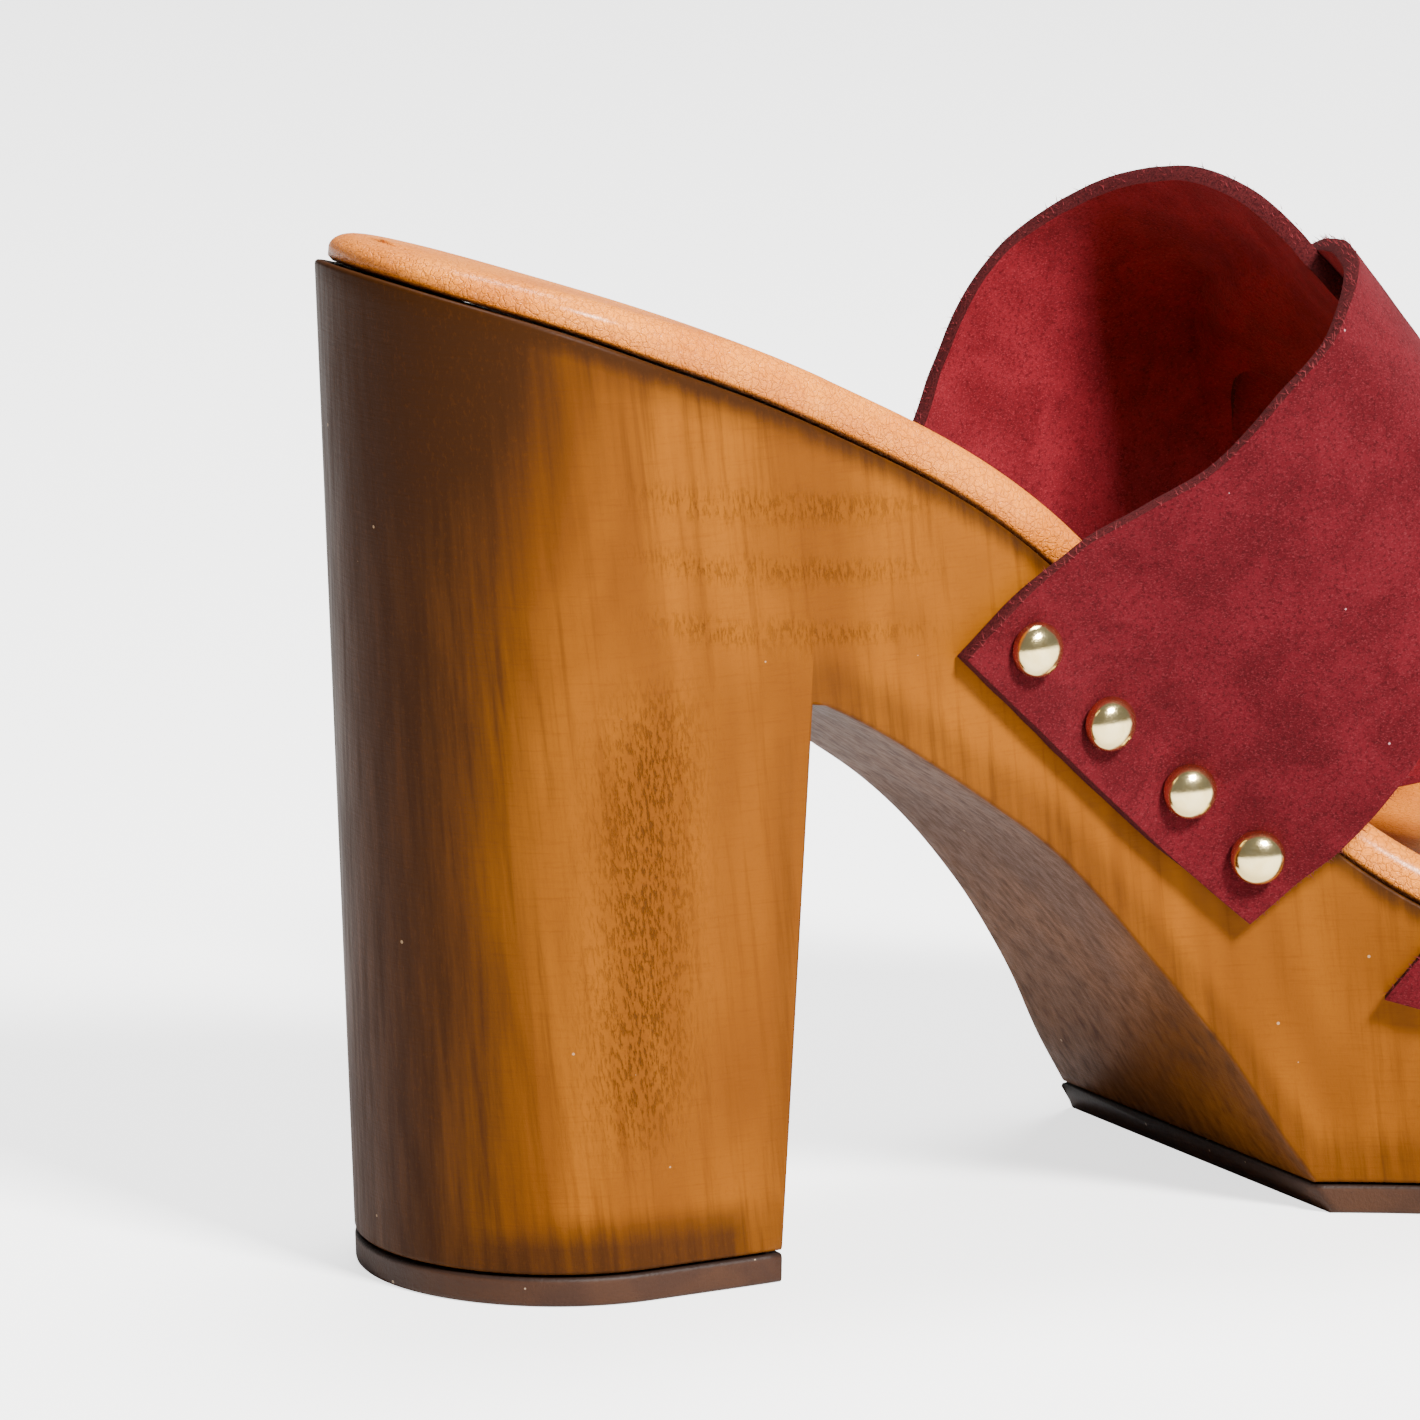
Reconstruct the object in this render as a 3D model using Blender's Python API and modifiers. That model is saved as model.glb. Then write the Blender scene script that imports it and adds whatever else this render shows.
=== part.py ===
"""Heeled wooden mule with two crossed suede straps. Metres, +X to the toe, +Z up."""
import math

import bmesh
import bpy
import numpy as np
from mathutils import Vector
from mathutils.bvhtree import BVHTree

for old in list(bpy.data.objects):
    bpy.data.objects.remove(old, do_unlink=True)

# driving dimensions
SHOE_LENGTH = 0.2157         # plan length, heel back to toe
HEEL_HEIGHT = 0.1138         # top of the wood at the heel back
BALL_WIDTH = 0.084           # width that the plan shares refer to
HEEL_BACK = 0.0257           # heel centre to the back of the seat
TREAD_THICKNESS = 0.0033     # heel lift and outsole
FIT_GAP = 0.0003             # between touching pieces
INSOLE_THICKNESS = 0.0050
INSOLE_INSET = 0.0011        # insole edge inside the wood's edge
INSOLE_ROUND = 0.0026
INSOLE_TAPER = 0.0048        # rounding of the insole's two ends
INSOLE_SKIVE = 0.68          # share of its thickness left at the heel back
SKIVE_LENGTH = 0.040
STRAP_THICKNESS = 0.0021
STRAP_REST = 0.00045         # strap's inner face off the curved wall
STRAP_LAP = 0.0010           # how deep the two straps share material where they are joined
WALL_LEAN = 0.0035           # how far the walls lean out over the heel's height
BACK_LEAN = 0.0040           # how far the heel leans back over its height
EDGE_BREAK = 0.0005          # softened edge of the wood
TOE_SPRING = 0.014           # rise of the platform's bottom at the toe
STUD_DIAMETER = 0.0062
STUD_HEIGHT = 0.0021
STUD_SPACING = 0.0129
STUD_MARGIN = 0.0062         # stud centre to the strap's end edge
STUD_COUNT = 4
STUD_LIFT = 0.0009           # flat back of a stud above the curved strap
STUD_STRAY = 0.0018          # the furthest that a hand-set stud strays along its row
PLAN_STEPS = 15              # stations round the heel and round the toe

WOOD_BASE = TREAD_THICKNESS + FIT_GAP
WALL_FLARE = WALL_LEAN / HEEL_HEIGHT
BACK_RAKE = BACK_LEAN / HEEL_HEIGHT
HALF = 0.5
EDGES = (EDGE_BREAK, EDGE_BREAK)

# station and height of the wood's top edge, as shares of length and heel height
TOP_COLUMNS = ("station", "height")
TOP_TABLE = (
    (0.000, 1.000),
    (0.019, 0.988),
    (0.068, 0.957),
    (0.119, 0.919),
    (0.175, 0.876),
    (0.230, 0.827),
    (0.286, 0.772),
    (0.323, 0.728),
    (0.356, 0.680),
    (0.397, 0.606),
    (0.437, 0.529),
    (0.476, 0.448),
    (0.512, 0.378),
    (0.548, 0.324),
    (0.587, 0.281),
    (0.629, 0.252),
    (0.675, 0.236),
    (0.731, 0.232),
    (0.796, 0.243),
    (0.870, 0.267),
    (0.935, 0.297),
    (1.000, 0.334),
)

# station and height of the arch under the waist, above the wood's base
ARCH_COLUMNS = ("station", "height")
ARCH_TABLE = (
    (0.216, 0.540),
    (0.240, 0.517),
    (0.270, 0.483),
    (0.301, 0.444),
    (0.329, 0.407),
    (0.354, 0.373),
    (0.374, 0.340),
    (0.401, 0.287),
    (0.438, 0.205),
    (0.471, 0.121),
    (0.492, 0.054),
    (0.511, 0.000),
)

# plan half widths at floor level, as shares of the ball width
PLAN_COLUMNS = ("station", "near", "far")
PLAN_TABLE = (
    (0.119, 0.268, 0.268),
    (0.189, 0.265, 0.265),
    (0.235, 0.255, 0.260),
    (0.281, 0.246, 0.255),
    (0.342, 0.233, 0.249),
    (0.383, 0.224, 0.245),
    (0.420, 0.220, 0.265),
    (0.458, 0.240, 0.312),
    (0.485, 0.267, 0.349),
    (0.513, 0.298, 0.376),
    (0.541, 0.340, 0.404),
    (0.573, 0.393, 0.432),
    (0.611, 0.436, 0.461),
    (0.652, 0.463, 0.486),
    (0.699, 0.474, 0.500),
    (0.745, 0.471, 0.498),
)

# strap edges: station, side and height of the rear edge, then of the front edge,
# and how closely the strap follows the wood's wall there
STRAP_COLUMNS = ("rear_x", "rear_y", "rear_z", "front_x", "front_y", "front_z", "grip")
OVER_TABLE = (
    (0.298, -0.298, 0.601, 0.469, -0.317, 0.303, 1.000),
    (0.332, -0.310, 0.653, 0.490, -0.337, 0.341, 1.000),
    (0.363, -0.310, 0.696, 0.511, -0.357, 0.379, 0.400),
    (0.395, -0.336, 0.733, 0.527, -0.388, 0.424, 0.080),
    (0.426, -0.374, 0.773, 0.550, -0.414, 0.490, 0.000),
    (0.459, -0.405, 0.841, 0.580, -0.429, 0.580, 0.000),
    (0.487, -0.402, 0.887, 0.609, -0.426, 0.637, 0.000),
    (0.509, -0.367, 0.926, 0.630, -0.395, 0.681, 0.000),
    (0.531, -0.295, 0.953, 0.648, -0.310, 0.692, 0.000),
    (0.551, -0.185, 0.958, 0.665, -0.185, 0.684, 0.000),
    (0.570, -0.060, 0.947, 0.681, -0.054, 0.664, 0.000),
    (0.588, 0.071, 0.921, 0.697, 0.083, 0.636, 0.000),
    (0.597, 0.208, 0.874, 0.714, 0.220, 0.598, 0.000),
    (0.608, 0.333, 0.805, 0.732, 0.345, 0.540, 0.000),
    (0.615, 0.426, 0.707, 0.749, 0.440, 0.471, 0.000),
    (0.614, 0.462, 0.584, 0.763, 0.490, 0.378, 0.040),
    (0.605, 0.462, 0.461, 0.772, 0.507, 0.303, 0.300),
    (0.589, 0.445, 0.347, 0.775, 0.514, 0.242, 0.800),
    (0.569, 0.431, 0.283, 0.773, 0.518, 0.167, 1.000),
    (0.546, 0.423, 0.223, 0.764, 0.521, 0.095, 1.000),
)
UNDER_TABLE = (
    (0.314, 0.310, 0.585, 0.476, 0.369, 0.308, 1.000),
    (0.349, 0.321, 0.633, 0.499, 0.387, 0.347, 1.000),
    (0.381, 0.327, 0.678, 0.522, 0.405, 0.385, 0.400),
    (0.408, 0.355, 0.728, 0.541, 0.417, 0.448, 0.080),
    (0.429, 0.383, 0.786, 0.571, 0.424, 0.527, 0.000),
    (0.448, 0.395, 0.849, 0.608, 0.424, 0.615, 0.000),
    (0.470, 0.388, 0.902, 0.623, 0.408, 0.699, 0.000),
    (0.494, 0.348, 0.946, 0.626, 0.374, 0.787, 0.000),
    (0.517, 0.260, 0.986, 0.637, 0.326, 0.815, 0.000),
    (0.535, 0.148, 1.004, 0.650, 0.219, 0.772, 0.000),
    (0.547, 0.036, 0.989, 0.663, 0.095, 0.722, 0.000),
    (0.561, -0.071, 0.940, 0.678, -0.024, 0.682, 0.000),
    (0.580, -0.185, 0.880, 0.696, -0.149, 0.636, 0.000),
    (0.599, -0.292, 0.808, 0.715, -0.274, 0.580, 0.000),
    (0.609, -0.371, 0.707, 0.735, -0.386, 0.503, 0.000),
    (0.607, -0.412, 0.589, 0.750, -0.452, 0.409, 0.040),
    (0.595, -0.424, 0.470, 0.759, -0.479, 0.321, 0.300),
    (0.576, -0.419, 0.357, 0.763, -0.488, 0.246, 0.800),
    (0.555, -0.405, 0.290, 0.760, -0.490, 0.170, 1.000),
    (0.533, -0.386, 0.225, 0.751, -0.493, 0.097, 1.000),
)

# how far each stud strays along its row and away from the strap's end, as shares of STUD_STRAY
STRAY_TABLE = ((-0.22, 0.00), (0.44, -0.11), (1.00, 0.30), (0.11, 0.11))

NEAR = -1.0
FAR = 1.0


def column(table, names, name):
    """One named column of a table."""
    return np.array([row[names.index(name)] for row in table], float)


def spline(knots, values, at):
    """Smooth curve through the knots, with no overshoot between them."""
    knots = np.asarray(knots, float)
    values = np.asarray(values, float)
    step = np.diff(knots)
    rise = np.diff(values) / step
    slope = np.zeros_like(values)
    slope[0] = rise[0]
    slope[-1] = rise[-1]
    for k in range(1, len(values) - 1):
        if rise[k - 1] * rise[k] > 0.0:
            left = 2.0 * step[k] + step[k - 1]
            right = step[k] + 2.0 * step[k - 1]
            slope[k] = (left + right) / (left / rise[k - 1] + right / rise[k])
    at = float(np.clip(at, knots[0], knots[-1]))
    k = int(np.clip(np.searchsorted(knots, at) - 1, 0, len(step) - 1))
    s = (at - knots[k]) / step[k]
    keep = (1.0 + 2.0 * s) * (1.0 - s) ** 2 * values[k]
    rest = s * s * (3.0 - 2.0 * s) * values[k + 1]
    bend = s * (1.0 - s) ** 2 * slope[k] + s * s * (s - 1.0) * slope[k + 1]
    return keep + rest + bend * step[k]


TOP_X = column(TOP_TABLE, TOP_COLUMNS, "station") * SHOE_LENGTH - HEEL_BACK
TOP_Z = column(TOP_TABLE, TOP_COLUMNS, "height") * HEEL_HEIGHT
ARCH_X = column(ARCH_TABLE, ARCH_COLUMNS, "station") * SHOE_LENGTH - HEEL_BACK
ARCH_Z = column(ARCH_TABLE, ARCH_COLUMNS, "height") * HEEL_HEIGHT + WOOD_BASE
PLAN_X = column(PLAN_TABLE, PLAN_COLUMNS, "station") * SHOE_LENGTH - HEEL_BACK
PLAN_NEAR = column(PLAN_TABLE, PLAN_COLUMNS, "near") * BALL_WIDTH
PLAN_FAR = column(PLAN_TABLE, PLAN_COLUMNS, "far") * BALL_WIDTH

BREAST_X = 0.197 * SHOE_LENGTH - HEEL_BACK
ROLL_X = 0.735 * SHOE_LENGTH - HEEL_BACK
TOE_START = float(PLAN_X[-1])
TOE_TIP = SHOE_LENGTH - HEEL_BACK
TOE_SWING = 0.075 * BALL_WIDTH
FLOOR_BACK = HEEL_BACK - BACK_RAKE * HEEL_HEIGHT


def top_height(x):
    """Height of the wood's top edge."""
    return spline(TOP_X, TOP_Z, x)


def tread_height(x):
    """Rise of the platform's bottom from the floor, at the toe."""
    reach = max(0.0, (x - ROLL_X) / (TOE_TIP - ROLL_X))
    return TOE_SPRING * reach ** 1.8


def half_width(side, x, z):
    """Distance of the near or far wall from the heel's centre line."""
    widths = PLAN_NEAR if side < 0.0 else PLAN_FAR
    flare = WALL_FLARE * z
    if x < 0.0:
        back = FLOOR_BACK + BACK_RAKE * z
        share = min(1.0, -x / back)
        return (float(widths[0]) + flare) * math.sqrt(max(0.0, 1.0 - share * share))
    if x > TOE_START:
        share = min(1.0, (x - TOE_START) / (TOE_TIP - TOE_START))
        swing = TOE_SWING * share ** 1.6
        wide = (float(widths[-1]) + flare) * math.sqrt(1.0 - share ** 2.3)
        return wide - side * swing
    return spline(PLAN_X, widths, x) + flare


def profile_normals(line, downward):
    """Unit normals of a side-profile polyline, all to one side."""
    points = np.asarray(line, float)
    tangent = np.gradient(points, axis=0)
    tangent /= np.linalg.norm(tangent, axis=1)[:, None]
    turn = -1.0 if downward else 1.0
    return np.stack([-tangent[:, 1] * turn, tangent[:, 0] * turn], axis=1)


def corner(point, inward, side, wall, radius, steps, from_wall):
    """Rounded edge between a wall and a face, as points of one ring."""
    out = []
    for k in range(steps + 1):
        angle = HALF * math.pi * (k / steps if from_wall else 1.0 - k / steps)
        along = radius * (1.0 - math.sin(angle))
        across = radius * (1.0 - math.cos(angle))
        pos = point + inward * along
        out.append((pos[0], side * (wall - across), pos[1]))
    return out


def loft(name, top, bottom, walls_at, inset, rounds, steps, material, group):
    """Closed solid between a top line and a bottom line, walled by the plan outline.

    The walls take their widths at the points of walls_at, a pair of lines for top and bottom.
    """
    top = np.asarray(top, float)
    bottom = np.asarray(bottom, float)
    down = profile_normals(top, True)
    up = profile_normals(bottom, False)
    mesh = bmesh.new()
    rings = []
    for k in range(len(top)):
        walls = {}
        for side in (NEAR, FAR):
            walls[side, 1] = half_width(side, *walls_at[0][k]) - inset
            walls[side, 0] = half_width(side, *walls_at[1][k]) - inset
        slim = HALF * min(walls[NEAR, 1] + walls[FAR, 1], walls[NEAR, 0] + walls[FAR, 0])
        high = min(rounds[0], 0.8 * slim)
        low = min(rounds[1], 0.8 * slim)
        ring = []
        ring += corner(top[k], down[k], NEAR, walls[NEAR, 1], high, steps[0], True)
        ring += corner(top[k], down[k], FAR, walls[FAR, 1], high, steps[0], False)
        ring += corner(bottom[k], up[k], FAR, walls[FAR, 0], low, steps[1], True)
        ring += corner(bottom[k], up[k], NEAR, walls[NEAR, 0], low, steps[1], False)
        rings.append([mesh.verts.new(p) for p in ring])
    count = len(rings[0])
    for k in range(len(rings) - 1):
        for j in range(count):
            n = (j + 1) % count
            mesh.faces.new((rings[k][j], rings[k][n], rings[k + 1][n], rings[k + 1][j]))
    mesh.faces.new(list(reversed(rings[0])))
    mesh.faces.new(rings[-1])
    face_outward(mesh)
    return publish(name, mesh, material, group)


def face_outward(mesh):
    """Turn a closed mesh's faces outward."""
    mesh.normal_update()
    if mesh.calc_volume(signed=True) < 0.0:
        bmesh.ops.reverse_faces(mesh, faces=mesh.faces)


def publish(name, mesh, material, group, smooth=False):
    """Turn a bmesh into a named object in a collection."""
    data = bpy.data.meshes.new(name)
    mesh.to_mesh(data)
    mesh.free()
    for face in data.polygons:
        face.use_smooth = smooth
    data.materials.append(material)
    item = bpy.data.objects.new(name, data)
    group.objects.link(item)
    return item


def paint(name, colour, roughness, metallic):
    """A plain named material."""
    out = bpy.data.materials.new(name)
    out.use_nodes = True
    shader = out.node_tree.nodes["Principled BSDF"]
    shader.inputs["Base Color"].default_value = (*colour, 1.0)
    shader.inputs["Roughness"].default_value = roughness
    shader.inputs["Metallic"].default_value = metallic
    out.diffuse_color = (*colour, 1.0)
    return out


def round_end(line, end, radius, downward):
    """Lower a profile line near its end, so the plan's round end is rounded too."""
    line = np.asarray(line, float)
    normals = profile_normals(line, downward)
    out = line.copy()
    for k, (x, z) in enumerate(line):
        near = abs(end - x)
        if near < radius:
            out[k] += normals[k] * (radius - math.sqrt(radius ** 2 - (radius - near) ** 2))
    return out


def back_stations(inset, z):
    """Stations round the heel back, from the rear to the heel centre."""
    length = FLOOR_BACK + BACK_RAKE * z - inset
    turns = [HALF * math.pi * k / PLAN_STEPS for k in range(PLAN_STEPS)]
    turns[0] = 0.045
    return [-length * math.cos(turn) for turn in turns]


def toe_stations(inset, start):
    """Stations round the toe, from the start to the tip."""
    span = TOE_TIP - inset - start
    turns = [HALF * math.pi * k / PLAN_STEPS for k in range(1, PLAN_STEPS + 1)]
    turns[-1] = HALF * math.pi - 0.045
    return [start + span * math.sin(turn) for turn in turns]


def even(first, last, count):
    """Evenly spaced values, ends included."""
    return [first + (last - first) * k / (count - 1) for k in range(count)]


def offset_line(line, distance, downward):
    """A profile line moved along its normals."""
    return np.asarray(line, float) + profile_normals(line, downward) * distance


def build_wood(material, group):
    """The carved sole: heel, waist and platform in one piece."""
    top_x = back_stations(0.0, HEEL_HEIGHT)
    low_x = back_stations(0.0, 0.0)
    low_z = [WOOD_BASE] * len(low_x)
    top_x += even(0.0, BREAST_X, 4)
    low_x += even(0.0, BREAST_X, 4)
    low_z += [WOOD_BASE] * 4
    arch_top = ARCH_X[0] - 0.006 * SHOE_LENGTH
    top_x += [arch_top]
    low_x += [arch_top]
    low_z += [float(ARCH_Z[0])]
    arch_x = even(float(ARCH_X[0]) + 0.009 * SHOE_LENGTH, float(ARCH_X[-1]), 24)
    top_x += arch_x
    low_x += arch_x
    low_z += [spline(ARCH_X, ARCH_Z, x) for x in arch_x]
    mid_x = even(float(ARCH_X[-1]), TOE_START, 16)[1:]
    front = mid_x + toe_stations(0.0, TOE_START)
    top_x += front
    low_x += front
    low_z += [WOOD_BASE + tread_height(x) for x in front]
    top = [(x, top_height(x)) for x in top_x]
    bottom = list(zip(low_x, low_z))
    return loft("wood_sole", top, bottom, (top, bottom), 0.0, EDGES, (1, 1), material, group)


def build_lift(material, group):
    """Top piece under the heel."""
    xs = back_stations(0.0, 0.0) + even(0.0, BREAST_X, 4)
    top = [(x, TREAD_THICKNESS) for x in xs]
    bottom = [(x, 0.0) for x in xs]
    return loft("heel_lift", top, bottom, (top, bottom), 0.0, EDGES, (1, 1), material, group)


def build_outsole(material, group):
    """Sheet under the platform, its rear edge bevelled forward."""
    start = float(ARCH_X[-1])
    xs = even(start, TOE_START, 14) + toe_stations(0.0, TOE_START)
    top = [(x, TREAD_THICKNESS + tread_height(x)) for x in xs]
    slant = HALF * TREAD_THICKNESS
    low = even(start + slant, TOE_START, 14) + toe_stations(0.0, TOE_START)
    bottom = [(x, tread_height(x)) for x in low]
    return loft("outsole", top, bottom, (top, bottom), 0.0, EDGES, (1, 1), material, group)


def build_insole(material, group):
    """Padded sheet over the whole top, with a rounded upper edge."""
    xs = back_stations(INSOLE_INSET, HEEL_HEIGHT) + even(0.0, TOE_START, 34)
    xs += toe_stations(INSOLE_INSET, TOE_START)
    base = [(x, top_height(x)) for x in xs]
    bottom = offset_line(base, -FIT_GAP, True)
    full = [min(1.0, (x - xs[0]) / SKIVE_LENGTH) for x in xs]
    thick = [INSOLE_THICKNESS * (INSOLE_SKIVE + (1.0 - INSOLE_SKIVE) * f) for f in full]
    top = bottom - profile_normals(base, True) * np.array(thick)[:, None]
    top = round_end(top, float(top[0][0]) - FIT_GAP, INSOLE_TAPER, True)
    top = round_end(top, float(top[-1][0]) + FIT_GAP, INSOLE_TAPER, True)
    rounds = (INSOLE_ROUND, EDGE_BREAK)
    return loft("insole", top, bottom, (base, base), INSOLE_INSET, rounds, (3, 1), material, group)


def wall_offset(side, x, z, distance):
    """Half width of a surface that lies a given distance outside the wall."""
    reach = 0.004 * SHOE_LENGTH
    ahead = half_width(side, x + reach, z)
    behind = half_width(side, x - reach, z)
    slant = (ahead - behind) / (2.0 * reach)
    bulge = max(0.0, HALF * (ahead + behind) - half_width(side, x, z))
    return half_width(side, x, z) + bulge + distance * math.sqrt(1.0 + slant * slant)


def strap_point(table, t, v):
    """Outer surface of a strap: t runs along it, v from rear edge to front edge."""
    knots = np.linspace(0.0, 1.0, len(table))
    row = {}
    for name in STRAP_COLUMNS:
        row[name] = spline(knots, column(table, STRAP_COLUMNS, name), t)
    x = ((1.0 - v) * row["rear_x"] + v * row["front_x"]) * SHOE_LENGTH - HEEL_BACK
    y = ((1.0 - v) * row["rear_y"] + v * row["front_y"]) * BALL_WIDTH
    z = ((1.0 - v) * row["rear_z"] + v * row["front_z"]) * HEEL_HEIGHT
    side = NEAR if y < 0.0 else FAR
    grip = min(1.0, max(0.0, row["grip"]))
    low = z < top_height(x) + STRAP_THICKNESS
    if grip > 0.0 or low:
        held = side * wall_offset(side, x, min(z, top_height(x)), STRAP_REST + STRAP_THICKNESS)
        y = (1.0 - grip) * y + grip * held
        if low and abs(y) < abs(held):
            y = held
    return Vector((x, y, z))


PRESS_REACH = 2.5 * STRAP_THICKNESS
STRAP_LONG = 56
STRAP_WIDE = 8
CROSS_FROM = 0.28            # span of the lower strap that runs under the upper one
CROSS_TO = 0.86


def strap_grid(table):
    """Grid of points over a strap's outer surface."""
    rows = []
    for k in range(STRAP_LONG + 1):
        line = [strap_point(table, k / STRAP_LONG, j / STRAP_WIDE) for j in range(STRAP_WIDE + 1)]
        rows.append(line)
    return rows


def surface_tree(rows):
    """Search tree over a strap's outer surface."""
    mesh = bmesh.new()
    grid = [[mesh.verts.new(p) for p in row] for row in rows]
    for k in range(len(grid) - 1):
        for j in range(len(grid[0]) - 1):
            mesh.faces.new((grid[k][j], grid[k][j + 1], grid[k + 1][j + 1], grid[k + 1][j]))
    mesh.normal_update()
    tree = BVHTree.FromBMesh(mesh)
    mesh.free()
    return tree


def press_point(point, tree, wanted, hold):
    """Move a point near the surface to its depth below it, when the surface covers it."""
    hit, normal, _, _ = tree.find_nearest(point)
    centre = Vector((point.x, 0.0, HALF * point.z))
    if normal.dot(hit - centre) < 0.0:
        normal = -normal
    depth = (hit - point).dot(normal)
    slide = (point + normal * depth - hit).length
    short = wanted - depth
    if slide > FIT_GAP or -short > PRESS_REACH:
        return point
    if short > 0.0:
        return point - normal * short
    return point - normal * short * hold * (1.0 + short / PRESS_REACH)


def press_under(lower, upper):
    """Lay the lower strap against the inside of the upper one where they cross."""
    tree = surface_tree(upper)
    wanted = STRAP_THICKNESS - STRAP_LAP
    count = len(lower)
    first = int(CROSS_FROM * count)
    last = int(CROSS_TO * count)
    for turn in range(3):
        for k in range(first, last):
            fade = min(1.0, (k - first) / 3.0, (last - k) / 3.0)
            lower[k] = [press_point(p, tree, wanted, fade) for p in lower[k]]
        if turn == 2:
            break
        eased = [list(row) for row in lower]
        for k in range(first, last):
            for j in range(len(lower[k])):
                beside = [lower[k - 1][j], lower[k + 1][j]]
                if 0 < j < len(lower[k]) - 1:
                    beside += [lower[k][j - 1], lower[k][j + 1]]
                middle = sum(beside, Vector()) / len(beside)
                eased[k][j] = lower[k][j].lerp(middle, HALF)
        lower = eased
    return lower


def strap_mesh(name, rows, material, group):
    """Thin strap from its outer grid, thickened inward."""
    mesh = bmesh.new()
    grid = [[mesh.verts.new(p) for p in row] for row in rows]
    for k in range(len(grid) - 1):
        for j in range(len(grid[0]) - 1):
            mesh.faces.new((grid[k][j], grid[k][j + 1], grid[k + 1][j + 1], grid[k + 1][j]))
    mesh.normal_update()
    mid = grid[len(grid) // 2][len(grid[0]) // 2]
    if mid.normal.z < 0.0:
        bmesh.ops.reverse_faces(mesh, faces=mesh.faces)
    item = publish(name, mesh, material, group)
    solid = item.modifiers.new("Thickness", "SOLIDIFY")
    solid.thickness = STRAP_THICKNESS
    solid.offset = -1.0
    return item


def build_upper(material, group, cutters):
    """Both straps, joined where they cross."""
    over = strap_grid(OVER_TABLE)
    under = press_under(strap_grid(UNDER_TABLE), over)
    item = strap_mesh("upper", over, material, group)
    other = strap_mesh("under_strap", under, material, cutters)
    other.hide_render = True
    other.display_type = "WIRE"
    join = item.modifiers.new("Join", "BOOLEAN")
    join.operation = "UNION"
    join.solver = "EXACT"
    join.object = other
    return item


def stud_place(table, first_end, number, stray):
    """Centre and outward direction of one stud on a strap's end."""
    end = 0.0 if first_end else 1.0
    inner = 0.05 if first_end else 0.95
    rear = strap_point(table, end, 0.0)
    front = strap_point(table, end, 1.0)
    reach = (number - HALF * (STUD_COUNT - 1)) * STUD_SPACING + stray[0] * STUD_STRAY
    v = HALF + reach / (front - rear).length
    low = strap_point(table, end, v)
    high = strap_point(table, inner, v)
    t = end + (inner - end) * (STUD_MARGIN + stray[1] * STUD_STRAY) / (high - low).length
    spot = strap_point(table, t, v)
    along = strap_point(table, t, v + 0.05) - strap_point(table, t, v - 0.05)
    rise = high - low
    normal = along.cross(rise).normalized()
    if normal.y * spot.y < 0.0:
        normal = -normal
    return spot, normal


def build_stud(name, spot, normal, material, group):
    """Domed nail head standing just off the strap."""
    mesh = bmesh.new()
    turn = normal.to_track_quat("Z", "X").to_matrix()
    radius = HALF * STUD_DIAMETER
    rings = []
    sides = 14
    for share, rise in ((1.0, 0.0), (1.0, 0.12), (0.82, 0.62), (0.45, 0.92)):
        ring = []
        for k in range(sides):
            angle = 2.0 * math.pi * k / sides
            flat = Vector((math.cos(angle), math.sin(angle), 0.0)) * radius * share
            flat.z = rise * STUD_HEIGHT + STUD_LIFT
            ring.append(mesh.verts.new(spot + turn @ flat))
        rings.append(ring)
    tip = mesh.verts.new(spot + normal * (STUD_HEIGHT + STUD_LIFT))
    for k in range(len(rings) - 1):
        for j in range(sides):
            n = (j + 1) % sides
            mesh.faces.new((rings[k][j], rings[k][n], rings[k + 1][n], rings[k + 1][j]))
    for j in range(sides):
        mesh.faces.new((rings[-1][j], rings[-1][(j + 1) % sides], tip))
    mesh.faces.new(list(reversed(rings[0])))
    face_outward(mesh)
    return publish(name, mesh, material, group, smooth=True)


def main():
    """Build every node of the mule."""
    group = bpy.data.collections.new("heeled_mule")
    cutters = bpy.data.collections.new("cutters")
    bpy.context.scene.collection.children.link(group)
    bpy.context.scene.collection.children.link(cutters)
    wood = paint("wood", (0.36, 0.15, 0.045), 0.45, 0.0)
    tread = paint("tread", (0.30, 0.13, 0.05), 0.55, 0.0)
    leather = paint("leather", (0.66, 0.31, 0.12), 0.42, 0.0)
    suede = paint("suede", (0.30, 0.018, 0.035), 0.95, 0.0)
    brass = paint("brass", (0.80, 0.66, 0.38), 0.22, 1.0)
    build_wood(wood, group)
    build_lift(tread, group)
    build_outsole(tread, group)
    build_insole(leather, group)
    build_upper(suede, group, cutters)
    ends = (
        ("near_rear", OVER_TABLE, True),
        ("far_rear", UNDER_TABLE, True),
        ("near_front", UNDER_TABLE, False),
        ("far_front", OVER_TABLE, False),
    )
    for row, (label, table, first_end) in enumerate(ends):
        for number in range(STUD_COUNT):
            stray = STRAY_TABLE[(number + row) % STUD_COUNT]
            spot, normal = stud_place(table, first_end, number, stray)
            build_stud(f"stud_{label}_{number + 1}", spot, normal, brass, group)


main()
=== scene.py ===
"""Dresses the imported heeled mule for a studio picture. Metres, +X to the toe, +Z up."""
import logging
import math
import random
from collections.abc import Callable, Sequence
from dataclasses import dataclass, field
from enum import Enum

import bmesh
import bpy
import numpy as np
from mathutils import Matrix, Vector, noise
from mathutils.bvhtree import BVHTree


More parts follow.
